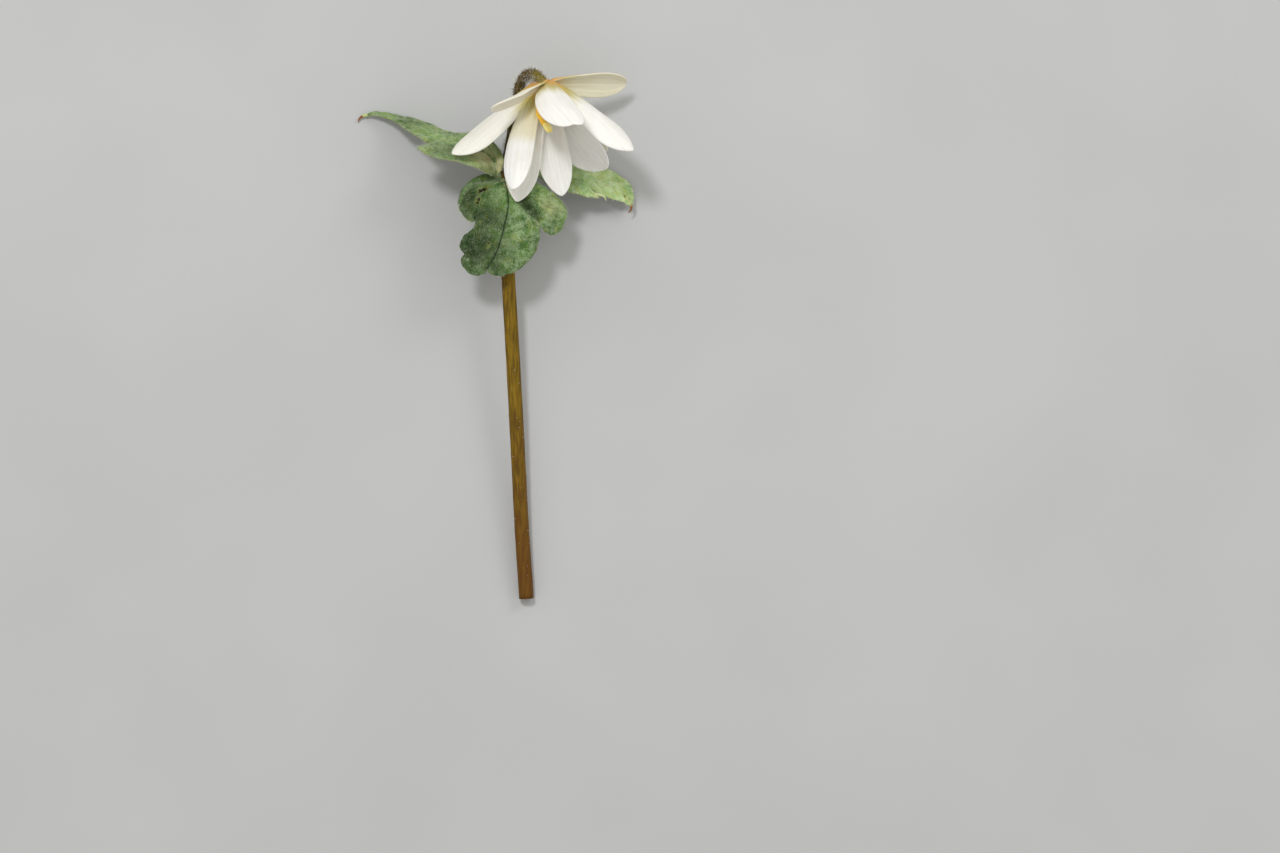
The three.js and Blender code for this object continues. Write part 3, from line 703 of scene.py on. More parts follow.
OLIVE = rgb(132, 104, 22)
OLIVE_DARK = rgb(88, 68, 12)
OLIVE_GREY = rgb(140, 120, 44)
RUSSET = rgb(96, 58, 18)
STEM_DARK = rgb(50, 42, 16)
PITH = rgb(196, 190, 140)


def stem_look():
    """Olive-brown with fine streaks, redder towards the cut end, pale on the cut."""
    look = Look("stem", Subsurface_Weight=0.1, Subsurface_Scale=0.001, Specular_IOR_Level=0.15)
    share = look.attribute("place")[3]
    _, cut, green, _ = look.attribute("trait")
    where = look.millimetres()
    streak = look.noise(look.stretched(where, 2.6, 0.16, 2.6), 1, 4, 0.6)
    colour = look.over(OLIVE_DARK, OLIVE, streak, 0.35, 0.65)
    colour = look.over(colour, OLIVE_GREY, streak, 0.6, 0.8, 0, 0.5)
    red = look.plus(share, look.times(look.noise(where, 0.12, 2), 0.3))
    colour = look.over(colour, RUSSET, red, 0.2, 0.62, 0.75, 0)
    colour = look.over(colour, STEM_DARK, share, 0.6, 0.78, 0, 0.6)
    colour = look.mix(cut, look.mix(green, colour, ROOT_GREEN), PITH)
    pits = look.noise(where, 4)
    return look.set(Base_Color=colour, Roughness=look.between(pits, 0.3, 0.7, 0.45, 0.65),
                    Normal=look.bump(look.plus(streak, pits), 0.08, 0.6))


BRISTLE = rgb(96, 82, 46), rgb(246, 244, 234)
DOWN = rgb(146, 162, 116), rgb(210, 218, 194)


def hair_look(name, root, tip):
    """Silky hairs of two colours, root to tip."""
    look = Look(name, Roughness=0.45, Sheen_Weight=0.2, Sheen_Roughness=0.3)
    _, along, chance, _ = look.attribute("place")
    tone = look.plus(look.times(along, 0.7), look.times(chance, 0.5))
    return look.set(Base_Color=look.over(root, tip, tone, 0, 0.9))


FILAMENT_YELLOW = rgb(232, 166, 24)
FILAMENT_PALE = rgb(236, 184, 50)
POLLEN = rgb(248, 216, 104)
POLLEN_PALE = rgb(250, 236, 164)


def stamen_look():
    """Deep yellow filaments, and paler anthers grained with pollen."""
    look = Look("stamen", Subsurface_Weight=0.15, Subsurface_Scale=0.0005, Specular_IOR_Level=0.35)
    share, anther = look.attribute("place")[3], look.attribute("trait")[1]
    grain = look.noise(look.millimetres(), 6, 3, 0.7)
    stalk = look.over(FILAMENT_YELLOW, FILAMENT_PALE, share, 0, 0.8)
    head = look.over(POLLEN, POLLEN_PALE, grain, 0.4, 0.65)
    return look.set(Base_Color=look.mix(anther, stalk, head), Normal=look.bump(grain, 0.06, 0.8),
                    Roughness=look.between(grain, 0.3, 0.7, 0.5, 0.75))


LIME = rgb(158, 168, 66)
LIME_PALE = rgb(206, 204, 130)
STIGMA = rgb(176, 132, 74)


def carpel_look():
    """Yellow-green, paler on the silky bellies, with warm brown tips."""
    look = Look("carpel", Subsurface_Weight=0.15, Subsurface_Scale=0.0005, Specular_IOR_Level=0.35)
    grain = look.noise(look.millimetres(), 5)
    colour = look.over(LIME, LIME_PALE, grain, 0.4, 0.65)
    colour = look.over(colour, STIGMA, look.attribute("place")[3], 0.75, 1)
    return look.set(Base_Color=colour, Roughness=look.between(grain, 0.3, 0.7, 0.45, 0.65),
                    Normal=look.bump(grain, 0.06, 0.7))


# Stem

def stem_line():
    """Places from 0 to 1 along the stem, with its middle and its radius at each."""
    places = np.linspace(0, 1, STEM_SPANS * RINGS_PER_SPAN + 1)
    stations = np.array(STEM, float)
    return places, space_curve(stations[:, :3], places), flat_curve(stations[:, 3:], places)[:, 0]


def stem_part():
    """The stem with low lengthwise ridges, a pale cut foot, and a green torus."""
    places, centres, radii = stem_line()
    ridges = sum(size * np.cos(count * turns(STEM_SIDES) + turn) for count, size, turn in RIDGES)
    swell = 1 + ridges[None] * smooth_step(0, 0.01, places)[:, None]
    body = tube(centres, radii[:, None] * swell, STEM_SIDES)
    wobble = uneven(body["points"], WOBBLE, 3)[:, None]
    body["points"] = body["points"] + point_normals(body["points"], body["faces"]) * wobble
    body["trait"][-2, 0] = 1
    body["trait"][:, 1] = 0.3 * smooth_step(0.96, 0.99, body["place"][:, 2])
    return body


def stem_hairs():
    """Dense silky hairs on the nodding pedicel and round the node, few on the scape."""
    places, centres, radii = stem_line()
    headings = headings_along(centres)
    middle = (places[1:] + places[:-1]) / 2 * STEM_SPANS
    steps = np.linalg.norm(np.diff(centres, axis=0), axis=1)
    chances = np.interp(middle, HAIR_STATIONS, HAIR_DENSITY) * steps
    spots = dice.choice(len(chances), int(chances.sum()), p=chances / chances.sum())
    turn = dice.random(len(spots)) * 2 * math.pi
    heading = headings[spots]
    side = unit(np.cross(heading, [[0.2, 0.1, 1.0]]))
    out = np.cos(turn)[:, None] * side + np.sin(turn)[:, None] * np.cross(heading, side)
    slide = dice.random(len(spots))[:, None]
    roots = centres[spots] * (1 - slide) + centres[spots + 1] * slide
    roots = roots + out * (radii[spots] * 0.97)[:, None]
    wild = dice.normal(0, 0.28, (len(spots), 3))
    upper = middle[spots] > NODE_STATION - 0.2
    way = out + np.where(upper, 0.35, 0.2)[:, None] * heading + wild
    length = np.where(upper, PEDICEL_HAIR, SCAPE_HAIR) * (0.55 + 0.75 * dice.random(len(spots)))
    bend = dice.normal(0, 0.22, (len(spots), 3)) + 0.15 * heading
    return hairs(roots, way, length, STEM_HAIR_WIDTH, bend)


# Tepals

def head_axes():
    facing = unit(FACING)
    right = unit(np.array([1.0, 0, 0]) - facing * facing[0])
    return np.array([right, np.cross(facing, right), facing])


def radial(degrees):
    angle = math.radians(degrees)
    return np.array([math.cos(angle), math.sin(angle), 0])


def tepal_outline(place, point):
    """The share of its full width that a tepal has at each place from root to tip."""
    rise = np.sin(math.pi / 2 * np.clip(place / WIDEST, 0, 1)) ** WIDENING
    closing = np.maximum(0, 1 - ((place - WIDEST) / (1 - WIDEST)) ** 2) ** point
    return np.where(place < WIDEST, ROOT_WIDTH + (1 - ROOT_WIDTH) * rise, closing)


def turned(vector, axis, degrees):
    """A vector turned round an axis."""
    angle = math.radians(degrees)
    along = axis * axis.dot(vector) * (1 - math.cos(angle))
    return vector * math.cos(angle) + np.cross(axis, vector) * math.sin(angle) + along


def tepal_part(index, ring, seat, toward, opening, reach, width, bow, cup, roll, point, wave,
               sweep, *painted_shades):
    """One tepal: the solid's form, with pleats along it and a gently waved edge."""
    radius, height = ring
    angle = math.radians(opening)
    way = radial(toward)
    root = radial(seat) * radius + UP * height
    tip = way * reach * math.sin(angle) + UP * reach * math.cos(angle)
    heading = unit(tip - root)
    back = way * math.cos(angle) - UP * math.sin(angle)
    back = turned(unit(back - heading * back.dot(heading)), heading, roll)
    side = np.cross(heading, back)
    rows = 1 - (1 - TEPAL_START) * (1 - np.linspace(0, 1, TEPAL_ROWS + 1)) ** ROW_CROWDING
    columns = np.sin(np.linspace(-1, 1, TEPAL_COLUMNS + 1) * math.pi / 2 * COLUMN_CROWDING)
    columns = columns / math.sin(math.pi / 2 * COLUMN_CROWDING)
    place, across = (grid.ravel() for grid in np.meshgrid(rows, columns, indexing="ij"))
    half = width / 2 * tepal_outline(place, point)
    arch = (4 * place * (1 - place))[:, None]
    middle = root + (tip - root) * place[:, None] + (back * bow + side * sweep) * arch
    waves = np.sin(9 * place + 2.1 * index + np.sign(across))
    ripple = wave * waves * across**2 * smooth_step(0.2, 0.6, place)
    lift = ripple - cup * half * across**2
    points = middle + side * (half * across)[:, None] + back * lift[:, None]
    known = np.stack([half * across, place, np.full(len(place), index * 3.7)], 1)
    faces = grid_faces(len(rows), len(columns))
    points, faces, known, across, half = weld(points, faces, known, across, half)
    along = known[:, 1]
    pleats = sum(size * np.cos(across * count + turn * index) for count, size, turn in PLEATS)
    fade = smooth_step(0, 0.12, along) * smooth_step(1, 0.86, along)
    soft = SOFT_RELIEF * roughly(known * [0.5, 4.0, 1.0], 1.0, index)
    relief = pleats * fade * np.minimum(1, half / 1.5) + soft * fade
    root_thick = ROOT_THICKENING * np.exp(-np.maximum(along, 0) * reach / ROOT_LENGTH)
    body = shell(points, faces, TEPAL_THICKNESS + root_thick, relief, known)
    # Painted shade, a warm ivory tint, on the root half and on the tip half as the table gives
    share = smooth_step(0.46, 0.62, body["place"][:, 1])
    body["trait"][:, 0] = painted_shades[0] * (1 - share) + painted_shades[1] * share
    return moved(body, head_axes(), HEAD)


# Stamens and carpels

def standing_axes(way):
    """Three axes, of which the last points along way."""
    way = unit(way)
    side = unit(np.cross(way, [0.3, 0.9, 0.1]))
    return np.array([side, np.cross(way, side), way])


def anther_parts(radii, detail, axes, middle, apart):
    """The two lobes of an anther, side by side along the first of its axes."""
    lobes = []
    for sign in (-1, 1):
        lobe = ball(radii, detail, detail)
        lobe["trait"][:, 0] = 1
        lobes.append(moved(lobe, axes, middle + axes[0] * sign * apart))
    return lobes


def stamen_parts(k):
    """A slim filament and an anther of two lobes."""
    share = k / (STAMENS - 1)
    aside = radial(k * GOLDEN_ANGLE + dice.normal(0, 4))
    root = aside * (0.95 + 0.5 * share) + UP * 0.55
    lean = math.radians(3 + 10 * share + dice.normal(0, 1.5))
    reach = STAMEN_REACH * (1 - 0.30 * share * dice.random()) - 0.1
    way = aside * math.sin(lean) + UP * math.cos(lean)
    sag = aside * 0.35 * share + dice.normal(0, 0.08, 3) * [1, 1, 0]
    shares = np.linspace(0, 1, 7)[:, None]
    centres = root + way * (shares * (reach - 1.5)) + sag * (shares * (1 - shares) * 2)
    stalk = tube(centres, np.interp(shares[:, 0], *FILAMENT), 6)
    tilt = unit(way + dice.normal(0, 0.12, 3))
    side, up, _ = standing_axes(tilt)
    spin = dice.random() * math.pi
    across = side * math.cos(spin) + up * math.sin(spin)
    axes = [across, np.cross(tilt, across), tilt]
    return [stalk, *anther_parts(ANTHER, 8, axes, centres[-1] + tilt * 0.62, 0.13)]


def disc_part():
    """The low disc that the stamens and carpels stand on."""
    shares, radii = DISC
    return tube(np.array([UP * (DISC_FOOT + DISC_HEIGHT * share) for share in shares]), radii, 28)


def stray_parts():
    """Stamens that hang out below the tuft, each a filament, most with an anther."""
    parts = []
    for shift, anther in STRAYS:
        line = space_curve(np.array(STRAY_STAMEN) + [shift, 0.2 * shift, 0], np.linspace(0, 1, 16))
        parts.append(tube(line, np.linspace(0.26, 0.2, 16), 8))
        if anther:
            heading = unit(line[-1] - line[-3])
            middle = line[-1] + heading * 0.5
            parts += anther_parts(STRAY_ANTHER, 10, standing_axes(heading), middle, 0.2)
    return parts


def stamens_part():
    parts = [disc_part()]
    for k in range(STAMENS):
        parts += stamen_parts(k)
    return joined([moved(joined(parts), head_axes(), HEAD), *stray_parts()])


def carpels_part():
    """A head of slim carpels, each a belly that tapers into its style."""
    core = ball((0.6, 0.6, 0.95), 12, 16)
    core["points"] += CARPEL_MIDDLE
    core["place"][:] = 0
    parts = [core]
    shares = np.linspace(0, 1, 7)
    for k in range(CARPELS):
        lean = math.acos(1 - 1.3 * (k + 0.5) / CARPELS)
        way = radial(k * GOLDEN_ANGLE) * math.sin(lean) + UP * math.cos(lean)
        root = CARPEL_MIDDLE + way * [0.42, 0.42, 0.7]
        rise = unit(way + UP * 0.8)
        centres = root + way * (0.5 * shares)[:, None] + rise * (0.75 * shares**1.5)[:, None]
        parts.append(tube(centres, np.interp(shares, *CARPEL), 7))
    return moved(joined(parts), head_axes(), HEAD)


# Bracts

def valley_depth(flat):
    """How deep the front bract's valley is: steep on the side of the middle lobe."""
    start, end = np.array(FRONT_VALLEY["start"]), np.array(FRONT_VALLEY["end"])
    length = np.linalg.norm(end - start)
    run, off = (end - start) / length, flat - start
    along, aside = off @ run, run[0] * off[..., 1] - run[1] * off[..., 0]
    width = np.where(aside < 0, FRONT_VALLEY["wide"], FRONT_VALLEY["steep"])
    beyond = along - np.clip(along, 0, length)
    rise = np.clip(0.3 + 1.4 * along / length, 0, 1)
    return FRONT_VALLEY["depth"] * rise * hump(aside, 0, width) * hump(beyond, 0, 0.6)


def front_placer():
    line = Line(FRONT_MIDLINE)

    def place(flat):
        across, along = flat[..., 0], flat[..., 1]
        points, headings = line.at(along)
        face = np.cross(headings, [1.0, 0, 0])
        droop = FRONT_DROOP * across**2 * smooth_step(*DROOP_START, along)
        points[..., 0] += across
        return points - face * (droop + valley_depth(flat))[..., None]

    return place


def side_placer(midline, lean):
    line = Line(midline)

    def place(flat):
        across, along = flat[..., 0], flat[..., 1]
        points, headings = line.at(along)
        turn = np.sign(headings[..., :1])
        level = unit(np.stack([-headings[..., 1], headings[..., 0], np.zeros_like(across)], -1)) * turn
        upright = -turn * np.cross(level, headings)
        share = np.clip(along / line.length, 0, 1)
        near, far = (read_values(lean[key], share) for key in ("near", "far"))
        angle = np.radians(np.where(across > 0, near, far))[..., None]
        return points + across[..., None] * (np.cos(angle) * upright - np.sin(angle) * level)

    return place


def edge_of_lobe(stations):
    """The edge of a half lobe, row by row: from the base straight to the sinus and round to
    the tip, or round all the way where the bract's own edge starts at the base."""
    rows = np.arange(LOBE_ROWS + 1)
    if stations[0] == [0, 0]:
        return flat_curve(stations, rows / LOBE_ROWS)
    sinus = np.array(stations[0], float)
    straight = sinus * (np.minimum(rows, SINUS_ROWS) / SINUS_ROWS)[:, None]
    around = flat_curve(stations, (rows - SINUS_ROWS) / (LOBE_ROWS - SINUS_ROWS))
    return np.where((rows <= SINUS_ROWS)[:, None], straight, around)


def ragged(edge, seed):
    """The margin of a half lobe with small uneven teeth, which fade out at its two ends."""
    rows = np.arange(LOBE_ROWS + 1)
    fade = smooth_step(SINUS_ROWS, SINUS_ROWS + 10, rows)
    fade = fade * smooth_step(LOBE_ROWS - 1, LOBE_ROWS - 9, rows)
    along = headings_along(edge)
    out = np.stack([along[:, 1], -along[:, 0]], 1)
    return edge + out * (uneven(in_space(edge), TEETH, seed) * fade)[:, None]


def half_lobe(vein_stations, edge_stations, seed):
    """Flat points of one half of a lobe, from its vein to its edge, and its faces."""
    rows = np.arange(LOBE_ROWS + 1)
    vein = flat_curve(vein_stations, rows / LOBE_ROWS)
    edge = ragged(edge_of_lobe(edge_stations), seed)
    even = np.arange(LOBE_COLUMNS + 1) / LOBE_COLUMNS
    columns = 0.4 * even + 0.6 * (1 - np.cos(math.pi * even)) / 2
    flat = vein[:, None] + (edge - vein)[:, None] * columns[None, :, None]
    faces = grid_faces(LOBE_ROWS + 1, LOBE_COLUMNS + 1)
    heading, out = vein[-1] - vein[0], edge[LOBE_ROWS // 2] - vein[LOBE_ROWS // 2]
    if heading[0] * out[1] - heading[1] * out[0] > 0:
        faces = faces[:, ::-1]
    return flat.reshape(-1, 2), faces


def bract_sheet(lobes, place, seed):
    """The bract's middle surface, with the flat place and the lobe of each point."""
    flats, owners, faces, start = [], [], [], 0
    for index, lobe in enumerate(lobes):
        for side in ("left", "right"):
            flat, grid = half_lobe(lobe["vein"], lobe[side], seed)
            flats.append(flat)
            owners.append(np.full(len(flat), index))
            faces.append(grid + start)
            start += len(flat)
    flat, owner, faces = np.concatenate(flats), np.concatenate(owners), np.concatenate(faces)
    points, faces, flat, owner = weld(place(flat), faces, flat, owner)
    return points, upward(points, faces), flat, owner


def line_gap(flat, lines):
    """Distance in the flat from each point to the nearest of some lines."""
    steps = np.linspace(0, 1, 240)
    return distance_to(flat, np.concatenate([flat_curve(line, steps) for line in lines]))


def branches(lobe):
    """Flat points along the side veins, which leave the lobe's vein to both sides in turn."""
    vein = flat_curve(lobe["vein"], np.linspace(0, 1, 101))
    headings = headings_along(vein)
    reach = np.linspace(0, 1, 60)[:, None]
    lines = []
    for k in range(BRANCHES):
        share = k / BRANCHES
        at = int(100 * (0.12 + 0.8 * share))
        heading = headings[at]
        out = np.array([heading[1], -heading[0]]) * (1 if k % 2 else -1)
        length = BRANCH_LENGTH * (1 - 0.55 * share)
        way = 0.6 * out * reach + 0.6 * heading * reach + 0.3 * heading * reach**2
        lines.append(vein[at] + length * way)
    return np.concatenate(lines)


def branch_gap(flat, owner, lobes):
    """Distance in the flat from each point to the nearest side vein of its own lobe."""
    gap = np.empty(len(flat))
    for index, lobe in enumerate(lobes):
        mine = owner == index
        gap[mine] = distance_to(flat[mine], branches(lobe))
    return gap


def marked(flat, spots):
    """How strongly spots of across, along, size and strength mark each flat point."""
    mark = np.zeros(len(flat))
    for x, y, size, strength in spots:
        near = np.linalg.norm(flat - [x, y], axis=1)
        mark = np.maximum(mark, strength * np.clip(1.25 - near / size, 0, 1))
    return mark


def bract_part(plan):
    """A bract with grooved veins and puckers between them, eaten spots and a rolled margin."""
    lobes, seed = plan["lobes"], plan["seed"]
    points, faces, flat, owner = bract_sheet(lobes, plan["place"], seed)
    vein = line_gap(flat, [lobe["vein"] for lobe in lobes] + plan["cracks"])
    branch = branch_gap(flat, owner, lobes)
    rim_gap = distance_to(points, points[rim_points(faces, len(points))])
    spot = marked(flat, plan["spots"])
    pale = marked(flat, plan["pale"]) - marked(flat, plan["dark"])
    fade = smooth_step(0.5, 2.5, np.linalg.norm(flat, axis=1))
    fade = fade * np.where(owner == 1, plan["main"], 0.4)
    veins = SHOULDER[0] * hump(vein, *SHOULDER[1:]) - GROOVE[0] * hump(vein, 0, GROOVE[1])
    depth, wide = SIDE_GROOVE
    side_veins = depth * smooth_step(0, 0.8, branch) - depth * hump(branch, 0, wide)
    relief = fade * (veins + side_veins) - plan["fold"] * np.minimum(vein, 4)
    relief = relief + uneven(points, QUILT, seed) + uneven(points, GRAIN, seed + 1)
    relief = relief - SPOT_DEPTH * smooth_step(0.6, 0.95, spot)
    roll = -plan["roll"] * np.clip(1 - rim_gap / ROLL_WIDTH, 0, 1) ** 2
    points = points + point_normals(points, faces) * roll[:, None]
    place = np.column_stack([flat, np.full(len(flat), plan["side"])])
    form = np.stack([vein + 0.12 * np.where(owner == 1, 1 - plan["main"], 1), rim_gap, branch], 1)
    trait = np.stack([spot, pale, np.zeros(len(flat))], 1)
    return shell(points, faces, BRACT_THICKNESS, relief, place, form, trait)


def plain(body, side, pale):
    """Gives a small part of a bract one tone, away from all veins and margins."""
    body["place"][:, 2] = side
    body["form"][:] = 9
    body["trait"][:, 1] = pale
    return body


def fold_part(place):
    """The strip that the front bract folds back behind its upper left margin, darkened as painted
    shade.
    """
    share = np.linspace(0, 1, 80)
    inner = place(0.86 * flat_curve(FRONT_BRACT[0]["left"], share)) - [0, 0, 0.5]
    outer = space_curve(FRONT_FOLD, share)
    steps = np.linspace(0, 1, 14)[None, :, None]
    grid = inner[:, None] * (1 - steps) + outer[:, None] * steps
    grid[..., 2] += 0.4 * np.sin(math.pi * steps[..., 0])
    points, faces, known = weld(grid.reshape(-1, 3), grid_faces(80, 14), grid.reshape(-1, 3))
    strip = shell(points, upward(points, faces), FOLD_THICKNESS, 0.1 * roughly(points, 0.8), known)
    # Painted shade: the strip under the margin is darkened towards dark green
    return plain(strip, 0, -0.45)


def rib_part(blade, vein, start, side):
    """A rib that runs from inside the stem along a vein, half sunk in the blade's underside."""
    under = blade["trait"][:, 2] == 1
    flat, points = blade["place"][under, :2], blade["points"][under]
    spots = flat_curve(vein, np.linspace(0.04, RIB_SHARE, 7))
    near = [points[np.argmin(np.linalg.norm(flat - spot, axis=1))] for spot in spots]
    shares = np.linspace(0, 1, 40)
    rib = tube(space_curve([start, *near], shares), RIB_RADIUS * (1 - 0.75 * shares**0.6), 12)
    return plain(rib, side, 0.2)


def margin_hairs(plan, count):
    """Hairs round the margin that point outwards, half of them in small tufts."""
    edges = []
    for lobe in plan["lobes"]:
        vein = flat_curve(lobe["vein"], np.linspace(0, 1, LOBE_ROWS + 1))
        for stations in (lobe["left"], lobe["right"]):
            start = 0 if stations[0] == [0, 0] else SINUS_ROWS
            edges.append(np.stack([edge_of_lobe(stations), vein], 1)[start:])
    edges = np.concatenate(edges)
    tufts = np.repeat(dice.integers(0, len(edges), count // 16), 8)
    pick = np.concatenate([dice.integers(0, len(edges), count // 2), tufts])
    rim, inner = plan["place"](edges[pick, 0]), plan["place"](edges[pick, 1])
    out = unit(rim - inner)
    way = out + dice.normal(0, 0.35, (len(pick), 3))
    lengths = MARGIN_HAIR * (0.5 + 0.9 * dice.random(len(pick)))
    bend = dice.normal(0, 0.25, (len(pick), 3))
    return hairs(rim - out * 0.12, way, lengths, MARGIN_HAIR_WIDTH, bend)


def surface_hairs(body, count, heading):
    """Short hairs that lie almost flat, on both sides of a bract."""
    corner, second, third = np.moveaxis(body["points"][body["faces"]], 1, 0)
    normal = np.cross(second - corner, third - corner)
    area = np.linalg.norm(normal, axis=1)
    pick = dice.choice(len(area), count, p=area / area.sum())
    a, b = dice.random((2, count, 1))
    beyond = a + b > 1
    a, b = np.where(beyond, 1 - a, a), np.where(beyond, 1 - b, b)
    roots = corner[pick] + a * (second - corner)[pick] + b * (third - corner)[pick]
    out = unit(normal[pick])
    way = 0.4 * out + 0.8 * np.array(heading) + dice.normal(0, 0.4, (count, 3))
    lengths = SURFACE_HAIR * (0.6 + 0.8 * dice.random(count))
    bend = -0.25 * out + dice.normal(0, 0.15, (count, 3))
    return hairs(roots, way, lengths, SURFACE_HAIR_WIDTH, bend)


def hook_part(stations, radius, brown):
    """The curled point at a lobe's tip."""
    shares = np.linspace(0, 1, 24)
    hook = plain(tube(space_curve(stations, shares), radius * (1 - shares) ** 0.7 + 0.03, 10), 1, 0.3)
    hook["trait"][:, 0] = brown * np.append(np.repeat(shares, 10), [0, 1]) ** 0.5
    return hook


# Plans of the bracts: side is the share of a side bract's colours, main is how strongly the
# veins of the main lobe show, fold lifts the blade away from its veins or sinks it, roll turns
# the margin down, root is where the ribs start, heading is where the surface hairs point, and
# hairs are the numbers on the margin and the surface. cracks are more lines like veins. Spots,
# pale and dark marks are across, along, size and strength in the flat outline, and brown spots
# have strength 1, yellow-green ones about a half. The front bract's dark marks are painted
# shade, and two pale marks are painted light.
PLANS = {
    "front": {
        "lobes": FRONT_BRACT, "place": front_placer(), "seed": 5,
        "side": 0, "main": 1, "fold": -0.04, "roll": 0.3,
        "root": [0, -0.2, 0.4], "heading": (0, -1, 0), "hairs": (1300, 4600),
        "cracks": [[[-3.9, 5.0], [-4.2, 6.2], [-4.5, 7.4], [-4.5, 8.5]]],
        "spots": [(-3.0, 3.0, 0.8, 1), (-3.6, 3.2, 0.8, 1), (-2.5, 2.7, 0.6, 1), (-3.9, 4.7, 0.7, 1),
                  (-4.1, 5.3, 0.5, 1), (-2.6, 7.7, 0.38, 1), (-2.3, 12.1, 0.45, 1),
                  (-3.45, 8.35, 0.26, 1), (-4.1, 9.1, 0.26, 1), (-3.8, 11.1, 0.24, 1),
                  (-3.3, 3.2, 1.2, 0.4), (-3.3, 6.0, 1.2, 0.45), (-3.4, 8.6, 1.0, 0.45),
                  (-2.5, 12.8, 0.9, 0.5), (6.2, 8.1, 1.2, 0.5), (4.3, 10.3, 1.0, 0.45),
                  (-2.9, 15.0, 0.6, 0.5)],
        "pale": [(0, 0.3, 0.9, 0.9), (0.5, 2.1, 0.4, 0.8), (0.9, 2.8, 0.4, 0.8), (1.3, 3.5, 0.4, 0.8),
                 (1.7, 4.1, 0.4, 0.8), (2.2, 4.8, 0.35, 0.8), (2.7, 5.4, 0.3, 0.7),
                 (3.3, 6.1, 0.3, 0.5), (4.0, 6.9, 0.28, 0.4), (5.5, 8.8, 0.5, 0.7),
                 # (7.6, 5.6) is painted light over the right lobe, lifting the shade that the tepal
                 # tips cast there
                 (7.6, 5.6, 2.8, 0.22), (-6.0, 12.9, 0.2, 0.9), (-4.5, 13.0, 0.2, 0.9),
                 (-5.6, 15.3, 0.2, 0.9), (-2.2, 12.7, 0.3, 0.6)],
        # The dark marks here are painted shade: along the valley to the right sinus, in the fold at
        # the bottom notch, over the left half of the middle lobe, which faces away from the light, and
        # in the crack at the left sinus.
        "dark": [(3.3, 4.6, 1.3, 1), (4.3, 5.9, 1.4, 1), (5.2, 7.0, 1.3, 1), (5.9, 7.9, 0.9, 0.8),
                 (-1.0, 16.0, 1.5, 0.8), (-0.2, 16.8, 1.1, 0.6), (-3.9, 12.6, 5.4, 0.95),
                 (-2.8, 7.6, 3.8, 0.9), (-5.6, 4.8, 3.9, 0.9), (-4.4, 7.0, 0.5, 1),
                 (-4.5, 7.9, 0.5, 1)],
    },
    "left": {
        "lobes": LEFT_BRACT, "place": side_placer(LEFT_MIDLINE, LEFT_LEAN), "seed": 4,
        "side": 0.1, "main": 0.4, "fold": 0.03, "roll": 0.12,
        "root": [-0.3, 0, 0.6], "heading": (-1, 0.3, -0.3), "hairs": (1100, 4400),
        "cracks": [],
        "spots": [(3.3, 12.6, 1.0, 0.5), (1.1, 22.8, 0.9, 0.5), (-1.3, 10.6, 1.2, 0.45),
                  (1.0, 16.5, 1.0, 0.4)],
        # The last pale mark is painted light near the base, lifting the shade that the flower head
        # casts there
        "pale": [(-1.1, 1.8, 0.8, 0.7), (-0.6, 0.9, 0.9, 0.8), (1.2, 3.8, 3.2, 0.6)],
        "dark": [(0.0, 3.5, 0.5, 0.7), (-0.2, 2.4, 0.5, 0.7), (0.1, 4.8, 0.5, 0.6),
                 (6.8, 9.4, 1.4, 0.4), (0.6, 20.0, 4.5, 0.35), (5.0, 8.6, 3.4, 0.45)],
    },
    "right": {
        "lobes": RIGHT_BRACT, "place": side_placer(RIGHT_MIDLINE, RIGHT_LEAN), "seed": 5,
        "side": 1, "main": 0.2, "fold": 0.03, "roll": 0.1,
        "root": [0.4, 0, -0.2], "heading": (1, 0, -0.3), "hairs": (900, 3600),
        "cracks": [],
        "spots": [(0.0, 22.2, 0.6, 1), (0.3, 21.2, 0.5, 1), (0.0, 20.4, 1.0, 0.5),
                  (1.8, 14.9, 0.8, 0.4)],
        "pale": [(3.4, 17.0, 0.6, 0.7)],
        "dark": [],
    },
}

# Curled points at the tips of the side bracts, and at the tip of the right one's side lobe
LEFT_HOOK = [[-22.3, 10.45, -7.2], [-23.0, 10.3, -7.3], [-23.6, 9.9, -7.4], [-23.9, 9.2, -7.5]]
RIGHT_HOOK = [[20.2, -3.4, -5.6], [20.9, -4.2, -5.7], [21.0, -5.1, -5.8], [20.5, -5.7, -5.9]]
LOBE_HOOK = [[-0.7, 0.6, 0.05], [0.2, 0.5, 0.1], [0.85, 0.27, 0.1], [1.12, -0.1, 0.1],
             [1.25, -0.5, 0.05]]
LOBE_TIP = [3.5, 17.1]
LEFT_HOOK_RADIUS, RIGHT_HOOK_RADIUS, HOOK_BROWN = 0.26, 0.28, 1.3


def make_bracts(green, down):
    lobe_tip = PLANS["right"]["place"](np.array([LOBE_TIP]))[0]
    extras = {
        "front": [fold_part(PLANS["front"]["place"])],
        "left": [hook_part(LEFT_HOOK, LEFT_HOOK_RADIUS, HOOK_BROWN)],
        "right": [hook_part(RIGHT_HOOK, RIGHT_HOOK_RADIUS, HOOK_BROWN),
                  hook_part(lobe_tip + LOBE_HOOK, RIGHT_HOOK_RADIUS, 0)],
    }
    for name, plan in PLANS.items():
        blade = bract_part(plan)
        ribs = [rib_part(blade, lobe["vein"], plan["root"], plan["side"]) for lobe in plan["lobes"]]
        leaf = joined([blade, *ribs, *extras[name]])
        make(f"bract_{name}_leaf", leaf, green, "bract", f"bract_{name}")
        on_margin, on_surface = plan["hairs"]
        fluff = [margin_hairs(plan, on_margin), surface_hairs(blade, on_surface, plan["heading"])]
        make(f"bract_{name}_hairs", joined(fluff), down, "bract")


# Floor, light and camera

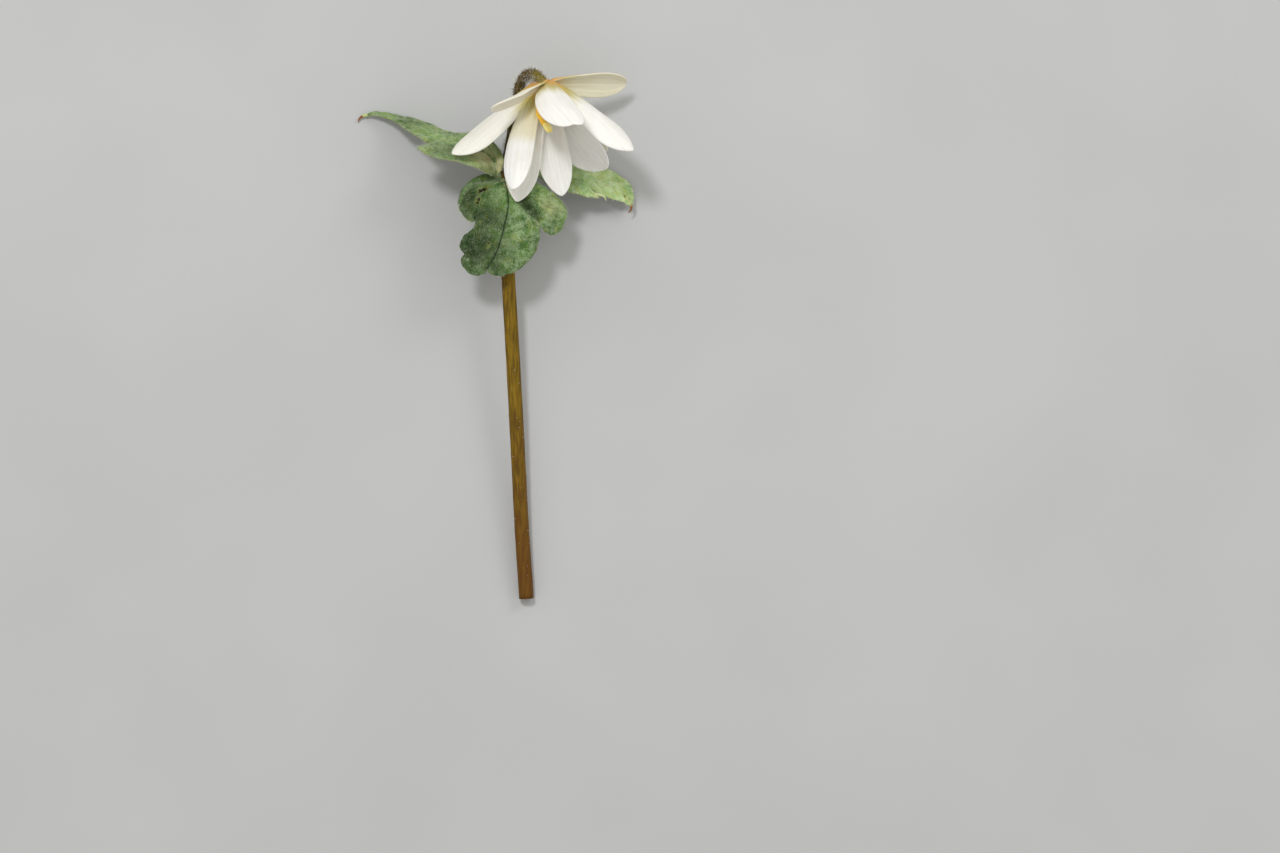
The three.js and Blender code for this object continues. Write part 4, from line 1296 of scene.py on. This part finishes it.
FLOOR_COLOUR = rgb(184, 185, 186)
FLOOR_PALE = rgb(188, 189, 190)
FLOOR_SIZE = 4
SKY_COLOUR, SKY_STRENGTH = (1.0, 0.985, 0.94, 1), 0.64

# Lights: where they stand and what they light, in metres, their size, power and colour
LIGHTS = {
    "key": [(-0.17, 0.36, 0.75), (0, 0.02, 0.01), 0.14, 2.9, (1, 1, 0.99)],
    "fill": [(0.5, 0.45, 0.5), (0, 0, 0.01), 0.3, 1.2, (1, 0.99, 0.97)],
}

# The photograph's size in pixels, its scale, and where the node lies in it
PHOTO = (1280, 853)
MM_PER_PIXEL = 0.164
NODE_PIXEL = (503, 178)
LENS, SENSOR = 600, 36


def make_floor():
    bpy.ops.mesh.primitive_plane_add(size=FLOOR_SIZE)
    floor = bpy.context.object
    floor.name = "floor"
    look = Look("floor", Roughness=0.8, Specular_IOR_Level=0.2)
    grain = look.noise(look.millimetres(), 0.02, 2)
    colour = look.over(FLOOR_COLOUR, FLOOR_PALE, grain, 0.3, 0.7)
    floor.data.materials.append(look.set(Base_Color=colour))


def make_light(name, position, target, size, power, colour):
    data = bpy.data.lights.new(name, "AREA")
    data.shape, data.size, data.energy, data.color = "DISK", size, power, colour
    light = added(name, data)
    light.location = position
    light.rotation_euler = (Vector(target) - Vector(position)).to_track_quat("-Z", "Y").to_euler()


def make_world():
    world = bpy.data.worlds.new("studio")
    world.use_nodes = True
    back = world.node_tree.nodes["Background"]
    back.inputs["Color"].default_value = SKY_COLOUR
    back.inputs["Strength"].default_value = SKY_STRENGTH
    bpy.context.scene.world = world


def make_camera():
    """Straight down, with the photograph's frame: its scale holds at the height of the node."""
    x = (NODE[0] + (PHOTO[0] / 2 - NODE_PIXEL[0]) * MM_PER_PIXEL) * MM
    y = (NODE[1] + (NODE_PIXEL[1] - PHOTO[1] / 2) * MM_PER_PIXEL) * MM
    distance = PHOTO[0] * MM_PER_PIXEL * MM * LENS / SENSOR
    data = bpy.data.cameras.new("camera")
    data.lens, data.sensor_width = LENS, SENSOR
    data.clip_start, data.clip_end = 0.05, 20
    camera = added("camera", data)
    camera.location = (x, y, NODE[2] * MM + distance)
    bpy.context.scene.camera = camera


make_camera()
make_floor()
make_world()
for name, values in LIGHTS.items():
    make_light(name, *values)
bpy.context.scene.view_settings.view_transform = "Standard"

make("stem_skin", stem_part(), stem_look(), "stem", "stem")
make("stem_hairs", stem_hairs(), hair_look("bristle", *BRISTLE), "stem")
make_bracts(bract_look(), hair_look("down", *DOWN))
petal = tepal_look()
for number, plan in enumerate(TEPALS, 1):
    make(f"tepal_{number:02d}_blade", tepal_part(number, *plan), petal, "tepal", f"tepal_{number:02d}")
make("stamen_tuft", stamens_part(), stamen_look(), "stamen", "stamens")
make("carpel_head", carpels_part(), carpel_look(), "carpel", "carpels")
